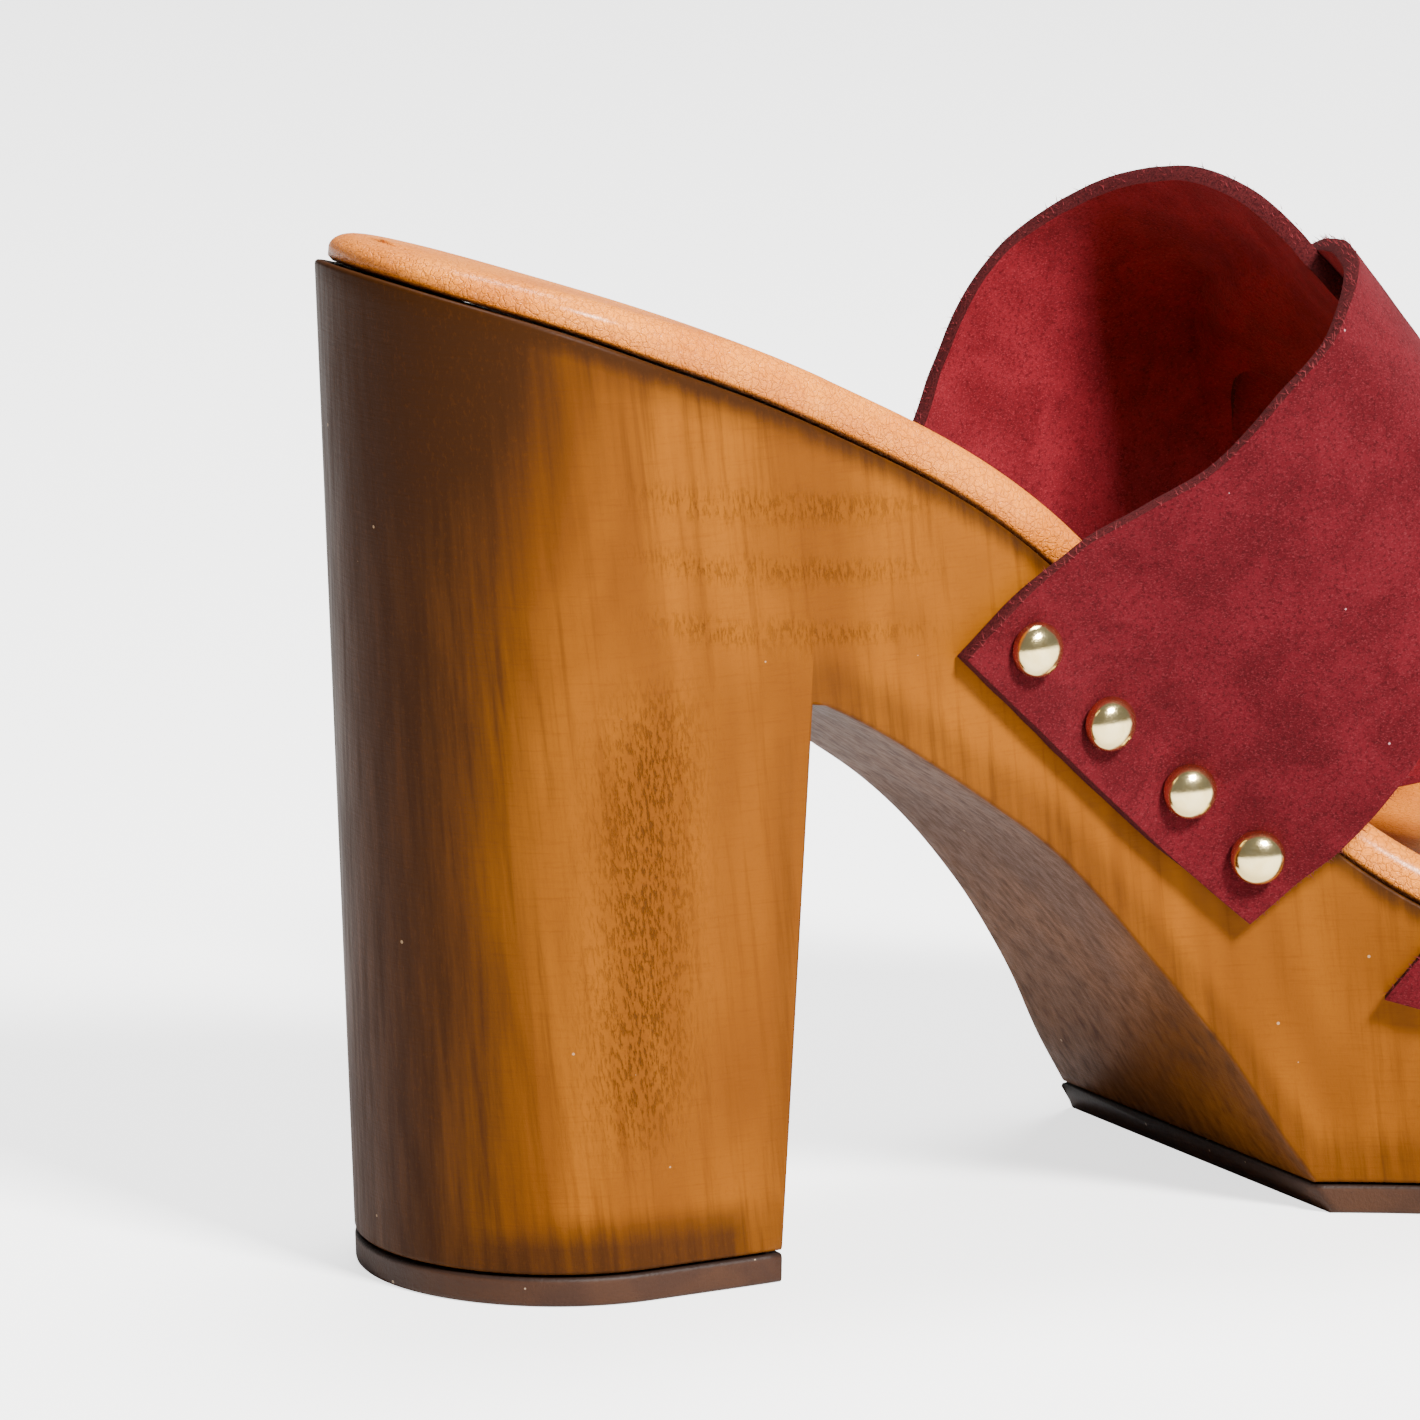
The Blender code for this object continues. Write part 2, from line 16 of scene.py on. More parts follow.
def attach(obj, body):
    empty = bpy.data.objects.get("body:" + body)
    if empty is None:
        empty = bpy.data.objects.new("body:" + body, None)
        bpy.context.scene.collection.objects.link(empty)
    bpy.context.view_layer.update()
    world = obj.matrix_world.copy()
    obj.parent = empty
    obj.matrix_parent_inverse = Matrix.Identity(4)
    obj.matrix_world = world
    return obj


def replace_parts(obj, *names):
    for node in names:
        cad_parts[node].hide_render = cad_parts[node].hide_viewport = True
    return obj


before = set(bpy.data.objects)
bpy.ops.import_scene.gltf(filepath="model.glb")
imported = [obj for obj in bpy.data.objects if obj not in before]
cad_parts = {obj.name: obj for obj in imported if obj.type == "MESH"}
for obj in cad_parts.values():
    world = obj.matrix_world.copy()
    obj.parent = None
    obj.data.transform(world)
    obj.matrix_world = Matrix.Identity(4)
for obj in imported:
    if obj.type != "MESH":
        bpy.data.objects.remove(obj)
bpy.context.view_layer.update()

LOG = logging.getLogger("heeled_mule")
BODY = "root"
MM = 0.001
HALF_TURN = math.pi / 2.0

Colour = tuple[float, float, float]


class Side(Enum):
    """The two long sides of the shoe."""

    NEAR = -1.0
    FAR = 1.0


class End(Enum):
    """The two nailed ends of a strap."""

    REAR = 0.0
    FRONT = 1.0


def smooth(low: float, high: float, value: float) -> float:
    """Soft step.

    Args:
        low: Value at which the step starts.
        high: Value at which it is complete.
        value: Where it is read.

    Returns:
        0 at low, 1 at high, eased between them.
    """
    share = min(1.0, max(0.0, (value - low) / (high - low)))
    return share * share * (3.0 - 2.0 * share)


class Curve:
    """A smooth curve through a table's rows, with no overshoot between them."""

    def __init__(self, knots: Sequence[float], values: Sequence[float]) -> None:
        """Sample the curve once, so that reading it is quick.

        Args:
            knots: Rising positions of the rows.
            values: The value at each row.
        """
        step = np.diff(np.asarray(knots, float))
        rise = np.diff(np.asarray(values, float)) / step
        slope = np.zeros(len(values))
        slope[0], slope[-1] = rise[0], rise[-1]
        for k in range(1, len(values) - 1):
            if rise[k - 1] * rise[k] > 0.0:
                left = 2.0 * step[k] + step[k - 1]
                right = step[k] + 2.0 * step[k - 1]
                slope[k] = (left + right) / (left / rise[k - 1] + right / rise[k])
        self.at_knots = np.linspace(knots[0], knots[-1], 1601)
        place = np.clip(np.searchsorted(knots, self.at_knots) - 1, 0, len(step) - 1)
        s = (self.at_knots - np.asarray(knots)[place]) / step[place]
        start, end = np.asarray(values)[place], np.asarray(values)[place + 1]
        self.values = (
            (1.0 + 2.0 * s) * (1.0 - s) ** 2 * start
            + s * s * (3.0 - 2.0 * s) * end
            + (s * (1.0 - s) ** 2 * slope[place] + s * s * (s - 1.0) * slope[place + 1]) * step[place]
        )

    def at(self, position: float) -> float:
        """Value of the curve at a position."""
        return float(np.interp(position, self.at_knots, self.values))


@dataclass(frozen=True)
class Last:
    """The shape that the whole shoe is built on, as the solids have it."""

    length: float = 0.2157
    heel_height: float = 0.1138
    ball_width: float = 0.084
    heel_back: float = 0.0257
    wall_lean: float = 0.0035
    back_lean: float = 0.0040
    toe_spring: float = 0.014
    tread: float = 0.0033
    seam: float = 0.0003

    # station and height of the wood's top edge
    top_rows: tuple = (
        (0.000, 1.000), (0.019, 0.988), (0.068, 0.957), (0.119, 0.919), (0.175, 0.876),
        (0.230, 0.827), (0.286, 0.772), (0.323, 0.728), (0.356, 0.680), (0.397, 0.606),
        (0.437, 0.529), (0.476, 0.448), (0.512, 0.378), (0.548, 0.324), (0.587, 0.281),
        (0.629, 0.252), (0.675, 0.236), (0.731, 0.232), (0.796, 0.243), (0.870, 0.267),
        (0.935, 0.297), (1.000, 0.334),
    )
    # station and height of the arch under the waist
    arch_rows: tuple = (
        (0.216, 0.540), (0.240, 0.517), (0.270, 0.483), (0.301, 0.444), (0.329, 0.407),
        (0.354, 0.373), (0.374, 0.340), (0.401, 0.287), (0.438, 0.205), (0.471, 0.121),
        (0.492, 0.054), (0.511, 0.000),
    )
    # station, near and far half width at floor level
    plan_rows: tuple = (
        (0.119, 0.268, 0.268), (0.189, 0.265, 0.265), (0.235, 0.255, 0.260),
        (0.281, 0.246, 0.255), (0.342, 0.233, 0.249), (0.383, 0.224, 0.245),
        (0.420, 0.220, 0.265), (0.458, 0.240, 0.312), (0.485, 0.267, 0.349),
        (0.513, 0.298, 0.376), (0.541, 0.340, 0.404), (0.573, 0.393, 0.432),
        (0.611, 0.436, 0.461), (0.652, 0.463, 0.486), (0.699, 0.474, 0.500),
        (0.745, 0.471, 0.498),
    )

    def __post_init__(self) -> None:
        """Work out the curves once."""
        top = np.array(self.top_rows)
        arch = np.array(self.arch_rows)
        plan = np.array(self.plan_rows)
        keep = object.__setattr__
        keep(self, "base", self.tread + self.seam)
        keep(self, "wall_flare", self.wall_lean / self.heel_height)
        keep(self, "back_rake", self.back_lean / self.heel_height)
        keep(self, "top_curve", Curve(self.station(top[:, 0]), top[:, 1] * self.heel_height))
        keep(self, "arch_curve", Curve(self.station(arch[:, 0]), arch[:, 1] * self.heel_height + self.base))
        keep(self, "near_curve", Curve(self.station(plan[:, 0]), plan[:, 1] * self.ball_width))
        keep(self, "far_curve", Curve(self.station(plan[:, 0]), plan[:, 2] * self.ball_width))
        keep(self, "arch_start", float(self.station(arch[0, 0])))
        keep(self, "arch_end", float(self.station(arch[-1, 0])))
        keep(self, "breast", float(self.station(0.197)))
        keep(self, "roll", float(self.station(0.735)))
        keep(self, "toe_start", float(self.station(plan[-1, 0])))
        keep(self, "toe_tip", self.length - self.heel_back)
        keep(self, "floor_back", self.heel_back - self.back_rake * self.heel_height)

    def station(self, share: float) -> float:
        """Position along the shoe of a share of its length."""
        return share * self.length - self.heel_back

    def top(self, x: float) -> float:
        """Height of the wood's top edge at x."""
        return self.top_curve.at(x)

    def slope(self, x: float) -> float:
        """Fall of the wood's top edge at x."""
        return (self.top(x + MM) - self.top(x - MM)) / (2.0 * MM)

    def rise(self, x: float) -> float:
        """Rise of the platform's bottom off the floor at x."""
        return self.toe_spring * max(0.0, (x - self.roll) / (self.toe_tip - self.roll)) ** 1.8

    def half_width(self, side: Side, x: float, z: float) -> float:
        """Distance of a wall from the centre line.

        Args:
            side: Which wall.
            x: Position along the shoe.
            z: Height.

        Returns:
            The distance in metres.
        """
        curve = self.near_curve if side is Side.NEAR else self.far_curve
        if x < 0.0:
            share = min(1.0, -x / (self.floor_back + self.back_rake * z))
            return (curve.at(0.0) + self.wall_flare * z) * math.sqrt(1.0 - share * share)
        if x > self.toe_start:
            share = min(1.0, (x - self.toe_start) / (self.toe_tip - self.toe_start))
            swing = 0.075 * self.ball_width * share ** 1.6
            wide = (curve.at(self.toe_start) + self.wall_flare * z) * math.sqrt(1.0 - share ** 2.3)
            return wide - side.value * swing
        return curve.at(x) + self.wall_flare * z

    def wall_offset(self, side: Side, x: float, z: float, distance: float) -> float:
        """Half width of a surface that lies a given distance outside the wall."""
        reach = 0.004 * self.length
        ahead = self.half_width(side, x + reach, z)
        behind = self.half_width(side, x - reach, z)
        slant = (ahead - behind) / (2.0 * reach)
        bulge = max(0.0, 0.5 * (ahead + behind) - self.half_width(side, x, z))
        return self.half_width(side, x, z) + bulge + distance * math.sqrt(1.0 + slant * slant)

    def place(self, turn: float, across: float, z: float, inset: float) -> tuple[float, float]:
        """Plan position of a point of a section.

        Args:
            turn: 0 at the heel back, 1 at the heel centre, 2 where the toe starts and 3 at its tip.
            across: -1 at the near wall, 1 at the far wall.
            z: Height, because the walls lean.
            inset: How far the outline is drawn in.

        Returns:
            x and y.
        """
        curve = self.near_curve if across < 0.0 else self.far_curve
        flare = self.wall_flare * z - inset
        if turn < 1.0:
            angle = turn * HALF_TURN
            back = self.floor_back + self.back_rake * z - inset
            return -back * math.cos(angle), across * (curve.at(0.0) + flare) * math.sin(angle)
        if turn > 2.0:
            share = math.sin((turn - 2.0) * HALF_TURN)
            x = self.toe_start + (self.toe_tip - self.toe_start - inset) * share
            wide = (curve.at(self.toe_start) + flare) * math.sqrt(max(0.0, 1.0 - share ** 2.3))
            return x, across * wide - 0.075 * self.ball_width * share ** 1.6
        x = (turn - 1.0) * self.toe_start
        return x, across * (curve.at(x) + flare)

    def turn_at(self, x: float) -> float:
        """Section parameter at a position of the middle stretch."""
        return 1.0 + x / self.toe_start


@dataclass(frozen=True)
class Rib:
    """One section of a skinned solid: where its top and its bottom lie."""

    top_turn: float
    low_turn: float
    low_z: float
    fade: float = 0.0


@dataclass(frozen=True)
class RingPoint:
    """One point of a section's outline."""

    across: float
    rise: float
    inset: float = 0.0
    drop: float = 0.0


def ring_outline(wall: int, face: int, top_round: float, low_round: float, corner: int) -> list[RingPoint]:
    """Outline of a section: near wall, top, far wall and bottom, with rounded corners.

    Args:
        wall: Steps up a wall.
        face: Steps across the top or the bottom.
        top_round: Radius of the upper corners.
        low_round: Radius of the lower corners.
        corner: Steps round a corner.

    Returns:
        The outline's points, without the repeat of the first.
    """
    points = []
    for across, upward in ((-1.0, True), (1.0, False)):
        rises = [k / wall for k in range(wall + 1)]
        for rise in rises if upward else reversed(rises):
            drop = top_round * rise + low_round * (1.0 - rise)
            points.append(RingPoint(across, rise, 0.0, drop))
        radius = top_round if upward else low_round
        level = 1.0 if upward else 0.0
        for k in range(1, corner + 1):
            angle = HALF_TURN * k / corner
            points.append(RingPoint(across, level, radius * (1.0 - math.cos(angle)), radius * (1.0 - math.sin(angle))))
        for k in range(1, face):
            points.append(RingPoint(across * (1.0 - 2.0 * k / face), level, radius, 0.0))
        for k in range(corner, 0, -1):
            angle = HALF_TURN * k / corner
            points.append(RingPoint(-across, level, radius * (1.0 - math.cos(angle)), radius * (1.0 - math.sin(angle))))
    return points


def finish_mesh(name: str, mesh: bmesh.types.BMesh, materials: Sequence[bpy.types.Material]) -> bpy.types.Object:
    """Turn a bmesh into a piece that rides on the shoe.

    Args:
        name: Name of the piece.
        mesh: Its finished bmesh, which is freed.
        materials: Its materials, in slot order.

    Returns:
        The new object.
    """
    data = bpy.data.meshes.new(name)
    mesh.to_mesh(data)
    mesh.free()
    data.shade_smooth()
    for material in materials:
        data.materials.append(material)
    piece = bpy.data.objects.new(name, data)
    bpy.context.scene.collection.objects.link(piece)
    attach(piece, BODY)
    LOG.info("%s: %d faces", name, len(data.polygons))
    return piece


def skin(
    ribs: Sequence[Rib],
    ring: Sequence[RingPoint],
    shape: Callable[[Rib, RingPoint], Vector],
    marks: dict[str, Callable[[Vector, Rib, RingPoint], float]],
) -> bmesh.types.BMesh:
    """Wrap a grid round a row of sections into a closed skin.

    Args:
        ribs: The sections, from the heel back to the toe tip.
        ring: The outline that each section has.
        shape: Gives a point's place from its section and its outline point.
        marks: Named vertex values that the materials read.

    Returns:
        The closed bmesh.
    """
    mesh = bmesh.new()
    layers = {name: mesh.verts.layers.float.new(name) for name in marks}
    bmesh.ops.create_grid(mesh, x_segments=len(ribs) - 1, y_segments=len(ring), size=1.0)
    for vert in mesh.verts:
        rib = ribs[round((vert.co.x + 1.0) * 0.5 * (len(ribs) - 1))]
        point = ring[round((vert.co.y + 1.0) * 0.5 * len(ring)) % len(ring)]
        vert.co = shape(rib, point)
        for name, layer in layers.items():
            vert[layer] = marks[name](vert.co, rib, point)
    bmesh.ops.remove_doubles(mesh, verts=mesh.verts, dist=1e-6)
    bmesh.ops.dissolve_degenerate(mesh, dist=1e-7, edges=mesh.edges)
    bmesh.ops.recalc_face_normals(mesh, faces=mesh.faces)
    return mesh


class Graph:
    """Short way to add and link the nodes of a material or a group."""

    def __init__(self, tree: bpy.types.NodeTree) -> None:
        """Keep the tree that nodes are added to."""
        self.tree = tree

    def add(self, kind: str, inputs: dict | None = None, **settings: object) -> bpy.types.Node:
        """Add a node.

        Args:
            kind: The node's type name.
            inputs: Values or sockets for its inputs, by name or index.
            settings: Its properties.

        Returns:
            The new node.
        """
        node = self.tree.nodes.new(kind)
        for name, value in settings.items():
            setattr(node, name, value)
        for name, value in (inputs or {}).items():
            if isinstance(value, bpy.types.NodeSocket):
                self.tree.links.new(value, node.inputs[name])
            elif isinstance(value, tuple) and node.inputs[name].type == "RGBA":
                node.inputs[name].default_value = (*value[:3], 1.0)
            else:
                node.inputs[name].default_value = value
        return node

    def math(self, operation: str, a: object, b: object = 0.0, clamp: bool = False) -> bpy.types.NodeSocket:
        """Result of a Math node."""
        return self.add("ShaderNodeMath", {0: a, 1: b}, operation=operation, use_clamp=clamp).outputs[0]

    def ramp(self, value: object, low: float, high: float, start: float = 0.0, end: float = 1.0) -> bpy.types.NodeSocket:
        """Value remapped softly and clamped."""
        inputs = {"Value": value, "From Min": low, "From Max": high, "To Min": start, "To Max": end}
        return self.add("ShaderNodeMapRange", inputs, interpolation_type="SMOOTHSTEP").outputs[0]

    def mix(self, factor: object, a: object, b: object, blend: str = "MIX") -> bpy.types.NodeSocket:
        """Colour mixed by a factor."""
        node = self.add("ShaderNodeMix", {0: factor, 6: a, 7: b}, data_type="RGBA", blend_type=blend)
        return node.outputs[2]

    def noise(self, vector: object, scale: float, detail: float = 2.0, rough: float = 0.5, warp: float = 0.0) -> bpy.types.NodeSocket:
        """Noise value at a vector."""
        inputs = {"Vector": vector, "Scale": scale, "Detail": detail, "Roughness": rough, "Distortion": warp}
        return self.add("ShaderNodeTexNoise", inputs).outputs[0]

    def stretch(self, vector: object, scale: Colour, turn: Colour = (0.0, 0.0, 0.0), shift: Colour = (0.0, 0.0, 0.0)) -> bpy.types.NodeSocket:
        """Vector scaled and turned by a Mapping node."""
        return self.add("ShaderNodeMapping", {"Vector": vector, "Scale": scale, "Rotation": turn, "Location": shift}).outputs[0]

    def bump(self, height: object, distance: float, strength: float = 1.0, normal: object = None) -> bpy.types.NodeSocket:
        """Normal from a height."""
        inputs = {"Height": height, "Distance": distance, "Strength": strength}
        if normal is not None:
            inputs["Normal"] = normal
        return self.add("ShaderNodeBump", inputs).outputs[0]

    def millimetres(self) -> bpy.types.NodeSocket:
        """Object coordinates in millimetres."""
        place = self.add("ShaderNodeTexCoord").outputs["Object"]
        return self.stretch(place, (1000.0, 1000.0, 1000.0))

    def mark(self, name: str) -> bpy.types.NodeSocket:
        """A named vertex value."""
        return self.add("ShaderNodeAttribute", attribute_name=name).outputs["Fac"]


class Effects:
    """Shader groups that several finishes use."""

    _made: dict[str, bpy.types.NodeTree] = {}

    @classmethod
    def _group(cls, name: str, inputs: dict[str, tuple], outputs: dict[str, str]) -> tuple[bpy.types.NodeTree, Graph, bpy.types.Node, bpy.types.Node]:
        """Start a group with named sockets."""
        tree = bpy.data.node_groups.new(name, "ShaderNodeTree")
        for label, (kind, value) in inputs.items():
            socket = tree.interface.new_socket(label, in_out="INPUT", socket_type=kind)
            if value is not None:
                socket.default_value = value
        for label, kind in outputs.items():
            tree.interface.new_socket(label, in_out="OUTPUT", socket_type=kind)
        graph = Graph(tree)
        start = graph.add("NodeGroupInput")
        end = graph.add("NodeGroupOutput")
        cls._made[name] = tree
        return tree, graph, start, end

    @classmethod
    def mottle(cls) -> bpy.types.NodeTree:
        """Two colours clouded into each other over two scales."""
        if "mottle" in cls._made:
            return cls._made["mottle"]
        tree, g, start, end = cls._group(
            "mottle",
            {
                "Vector": ("NodeSocketVector", None),
                "Scale": ("NodeSocketFloat", 0.1),
                "Colour A": ("NodeSocketColor", (1.0, 1.0, 1.0, 1.0)),
                "Colour B": ("NodeSocketColor", (0.0, 0.0, 0.0, 1.0)),
                "Amount": ("NodeSocketFloat", 1.0),
            },
            {"Colour": "NodeSocketColor", "Mask": "NodeSocketFloat"},
        )
        broad = g.noise(start.outputs["Vector"], start.outputs["Scale"], 3.0, 0.55, 0.6)
        mask = g.ramp(broad, 0.34, 0.68)
        mask = g.math("MULTIPLY", mask, start.outputs["Amount"], True)
        colour = g.mix(mask, start.outputs["Colour A"], start.outputs["Colour B"])
        g.tree.links.new(colour, end.inputs["Colour"])
        g.tree.links.new(mask, end.inputs["Mask"])
        return tree

    @classmethod
    def specks(cls) -> bpy.types.NodeTree:
        """Sparse specks of dust or lint."""
        if "specks" in cls._made:
            return cls._made["specks"]
        tree, g, start, end = cls._group(
            "specks",
            {
                "Vector": ("NodeSocketVector", None),
                "Scale": ("NodeSocketFloat", 0.5),
                "Size": ("NodeSocketFloat", 0.12),
                "Share": ("NodeSocketFloat", 0.08),
            },
            {"Mask": "NodeSocketFloat"},
        )
        cells = g.add("ShaderNodeTexVoronoi", {"Vector": start.outputs["Vector"], "Scale": start.outputs["Scale"]})
        near = g.math("LESS_THAN", cells.outputs["Distance"], start.outputs["Size"])
        picked = g.math("LESS_THAN", g.add("ShaderNodeSeparateColor", {0: cells.outputs["Color"]}).outputs[0], start.outputs["Share"])
        g.tree.links.new(g.math("MULTIPLY", near, picked), end.inputs["Mask"])
        return tree

    @staticmethod
    def use(graph: Graph, tree: bpy.types.NodeTree, inputs: dict) -> bpy.types.Node:
        """Place a group in a material with its own values."""
        node = graph.tree.nodes.new("ShaderNodeGroup")
        node.node_tree = tree
        for name, value in inputs.items():
            if isinstance(value, bpy.types.NodeSocket):
                graph.tree.links.new(value, node.inputs[name])
            elif isinstance(value, tuple):
                node.inputs[name].default_value = (*value, 1.0)
            else:
                node.inputs[name].default_value = value
        return node


def new_material(name: str) -> tuple[bpy.types.Material, Graph, bpy.types.Node]:
    """A material with a Principled shader.

    Args:
        name: Name of the material.

    Returns:
        The material, its graph and its shader node.
    """
    material = bpy.data.materials.new(name)
    material.use_nodes = True
    shader = material.node_tree.nodes["Principled BSDF"]
    return material, Graph(material.node_tree), shader


@dataclass(frozen=True)
class StainedWood:
    """Lime wood, stained brown and wiped back on the broad faces; its dark mark also holds painted shade."""

    honey: Colour = (0.215, 0.066, 0.0032)
    brown: Colour = (0.105, 0.029, 0.0020)
    dark: Colour = (0.030, 0.0092, 0.0016)
    red: Colour = (0.085, 0.019, 0.0015)

    def material(self) -> bpy.types.Material:
        """Build the material."""
        material, g, shader = new_material("stained_wood")
        mm = g.millimetres()
        lean = g.stretch(mm, (1.0, 1.0, 1.0), (0.0, math.radians(7.0), 0.0))
        clouds = Effects.use(g, Effects.mottle(), {
            "Vector": g.stretch(lean, (1.0, 1.0, 0.35)), "Scale": 0.055,
            "Colour A": self.honey, "Colour B": self.brown, "Amount": 0.75,
        })
        streaks = g.noise(g.stretch(lean, (0.75, 0.75, 0.028)), 1.0, 4.0, 0.6)
        colour = g.mix(g.ramp(streaks, 0.50, 0.74, 0.0, 0.55), clouds.outputs["Colour"], self.brown)
        fine = g.noise(g.stretch(mm, (0.22, 0.22, 3.2)), 1.0, 3.0, 0.6)
        colour = g.mix(g.ramp(fine, 0.48, 0.78, 0.0, 0.22), colour, self.red)
        # Dark mark: partly the wood's staining, partly painted shade on the heel back and the bottom faces.
        shade_and_stain = g.math("ADD", g.mark("shade_and_stain"), g.math("MULTIPLY", g.math("SUBTRACT", streaks, 0.5), 0.5))
        shade_and_stain = g.math("MULTIPLY", g.ramp(shade_and_stain, 0.05, 0.95), g.math("GREATER_THAN", g.mark("shade_and_stain"), 0.001))
        colour = g.mix(shade_and_stain, colour, self.dark)
        pores = g.noise(g.stretch(lean, (3.0, 3.0, 0.75)), 1.0, 4.0, 0.65)
        patch = g.mark("pores")
        pits = g.math("MULTIPLY", g.ramp(pores, 0.48, 0.64), patch, True)
        colour = g.mix(g.math("MULTIPLY", pits, 0.62), colour, self.dark)
        grit = g.noise(g.stretch(lean, (2.4, 2.4, 1.3)), 1.0, 3.0, 0.7)
        colour = g.mix(g.ramp(grit, 0.52, 0.74, 0.0, 0.20), colour, self.brown)
        specks = Effects.use(g, Effects.specks(), {"Vector": mm, "Scale": 0.45, "Size": 0.09, "Share": 0.06})
        colour = g.mix(g.math("MULTIPLY", specks.outputs["Mask"], 0.6), colour, (0.40, 0.26, 0.14))
        g.tree.links.new(colour, shader.inputs["Base Color"])
        rough = g.ramp(streaks, 0.3, 0.8, 0.40, 0.56)
        g.tree.links.new(rough, shader.inputs["Roughness"])
        height = g.math("SUBTRACT", g.math("MULTIPLY", g.math("ADD", fine, grit), 0.22), pits)
        g.tree.links.new(g.bump(height, 0.00022, 0.65), shader.inputs["Normal"])
        shader.inputs["Specular IOR Level"].default_value = 0.05
        return material


@dataclass(frozen=True)
class StainedTread:
    """The thin top piece and outsole, stained like the wood but duller."""

    light: Colour = (0.044, 0.0150, 0.0045)
    dark: Colour = (0.026, 0.0082, 0.0028)

    def material(self) -> bpy.types.Material:
        """Build the material."""
        material, g, shader = new_material("stained_tread")
        mm = g.millimetres()
        clouds = Effects.use(g, Effects.mottle(), {
            "Vector": mm, "Scale": 0.12, "Colour A": self.light, "Colour B": self.dark, "Amount": 0.8,
        })
        grit = g.noise(mm, 2.4, 3.0, 0.6)
        colour = g.mix(g.ramp(grit, 0.55, 0.75, 0.0, 0.5), clouds.outputs["Colour"], self.dark)
        # Darker along the top of each sheet, in the groove under the wood.
        shade_and_stain = g.ramp(g.mark("shade_and_stain"), 0.0, 1.0)
        colour = g.mix(shade_and_stain, colour, (0.012, 0.005, 0.003))
        specks = Effects.use(g, Effects.specks(), {"Vector": mm, "Scale": 0.6, "Size": 0.12, "Share": 0.1})
        colour = g.mix(g.math("MULTIPLY", specks.outputs["Mask"], 0.55), colour, (0.5, 0.36, 0.24))
        g.tree.links.new(colour, shader.inputs["Base Color"])
        shader.inputs["Roughness"].default_value = 0.58
        shader.inputs["Specular IOR Level"].default_value = 0.25
        g.tree.links.new(g.bump(grit, 0.00015, 0.6), shader.inputs["Normal"])
        return material


@dataclass(frozen=True)
class GrainLeather:
    """Tan leather with a fine crackled grain and a soft shine."""

    tan: Colour = (0.80, 0.235, 0.010)
    deep: Colour = (0.56, 0.130, 0.006)
    crack: Colour = (0.26, 0.052, 0.002)

    def material(self) -> bpy.types.Material:
        """Build the material."""
        material, g, shader = new_material("grain_leather")
        mm = g.millimetres()
        bent = g.add("ShaderNodeVectorMath", {0: mm, 1: g.add("ShaderNodeTexNoise", {"Vector": mm, "Scale": 0.9}).outputs[1]}, operation="ADD").outputs[0]
        cells = g.add("ShaderNodeTexVoronoi", {"Vector": bent, "Scale": 1.15}, feature="DISTANCE_TO_EDGE").outputs["Distance"]
        small = g.add("ShaderNodeTexVoronoi", {"Vector": bent, "Scale": 3.1}, feature="DISTANCE_TO_EDGE").outputs["Distance"]
        grain = g.math("ADD", g.ramp(cells, 0.0, 0.13), g.ramp(small, 0.0, 0.14, 0.0, 0.5))
        clouds = Effects.use(g, Effects.mottle(), {
            "Vector": mm, "Scale": 0.09, "Colour A": self.tan, "Colour B": self.deep, "Amount": 0.55,
        })
        colour = g.mix(g.ramp(grain, 0.15, 1.0, 0.45, 0.0), clouds.outputs["Colour"], self.crack)
        # Browner towards the bottom of the insole's edge.
        colour = g.mix(g.ramp(g.mark("shade_and_stain"), 0.0, 1.0), colour, (0.16, 0.055, 0.018))
        g.tree.links.new(colour, shader.inputs["Base Color"])
        g.tree.links.new(g.ramp(grain, 0.2, 1.2, 0.52, 0.34), shader.inputs["Roughness"])
        g.tree.links.new(g.bump(grain, 0.00012, 0.8), shader.inputs["Normal"])
        shader.inputs["Specular IOR Level"].default_value = 0.22
        shader.inputs["Coat Weight"].default_value = 0.16
        shader.inputs["Coat Roughness"].default_value = 0.22
        return material


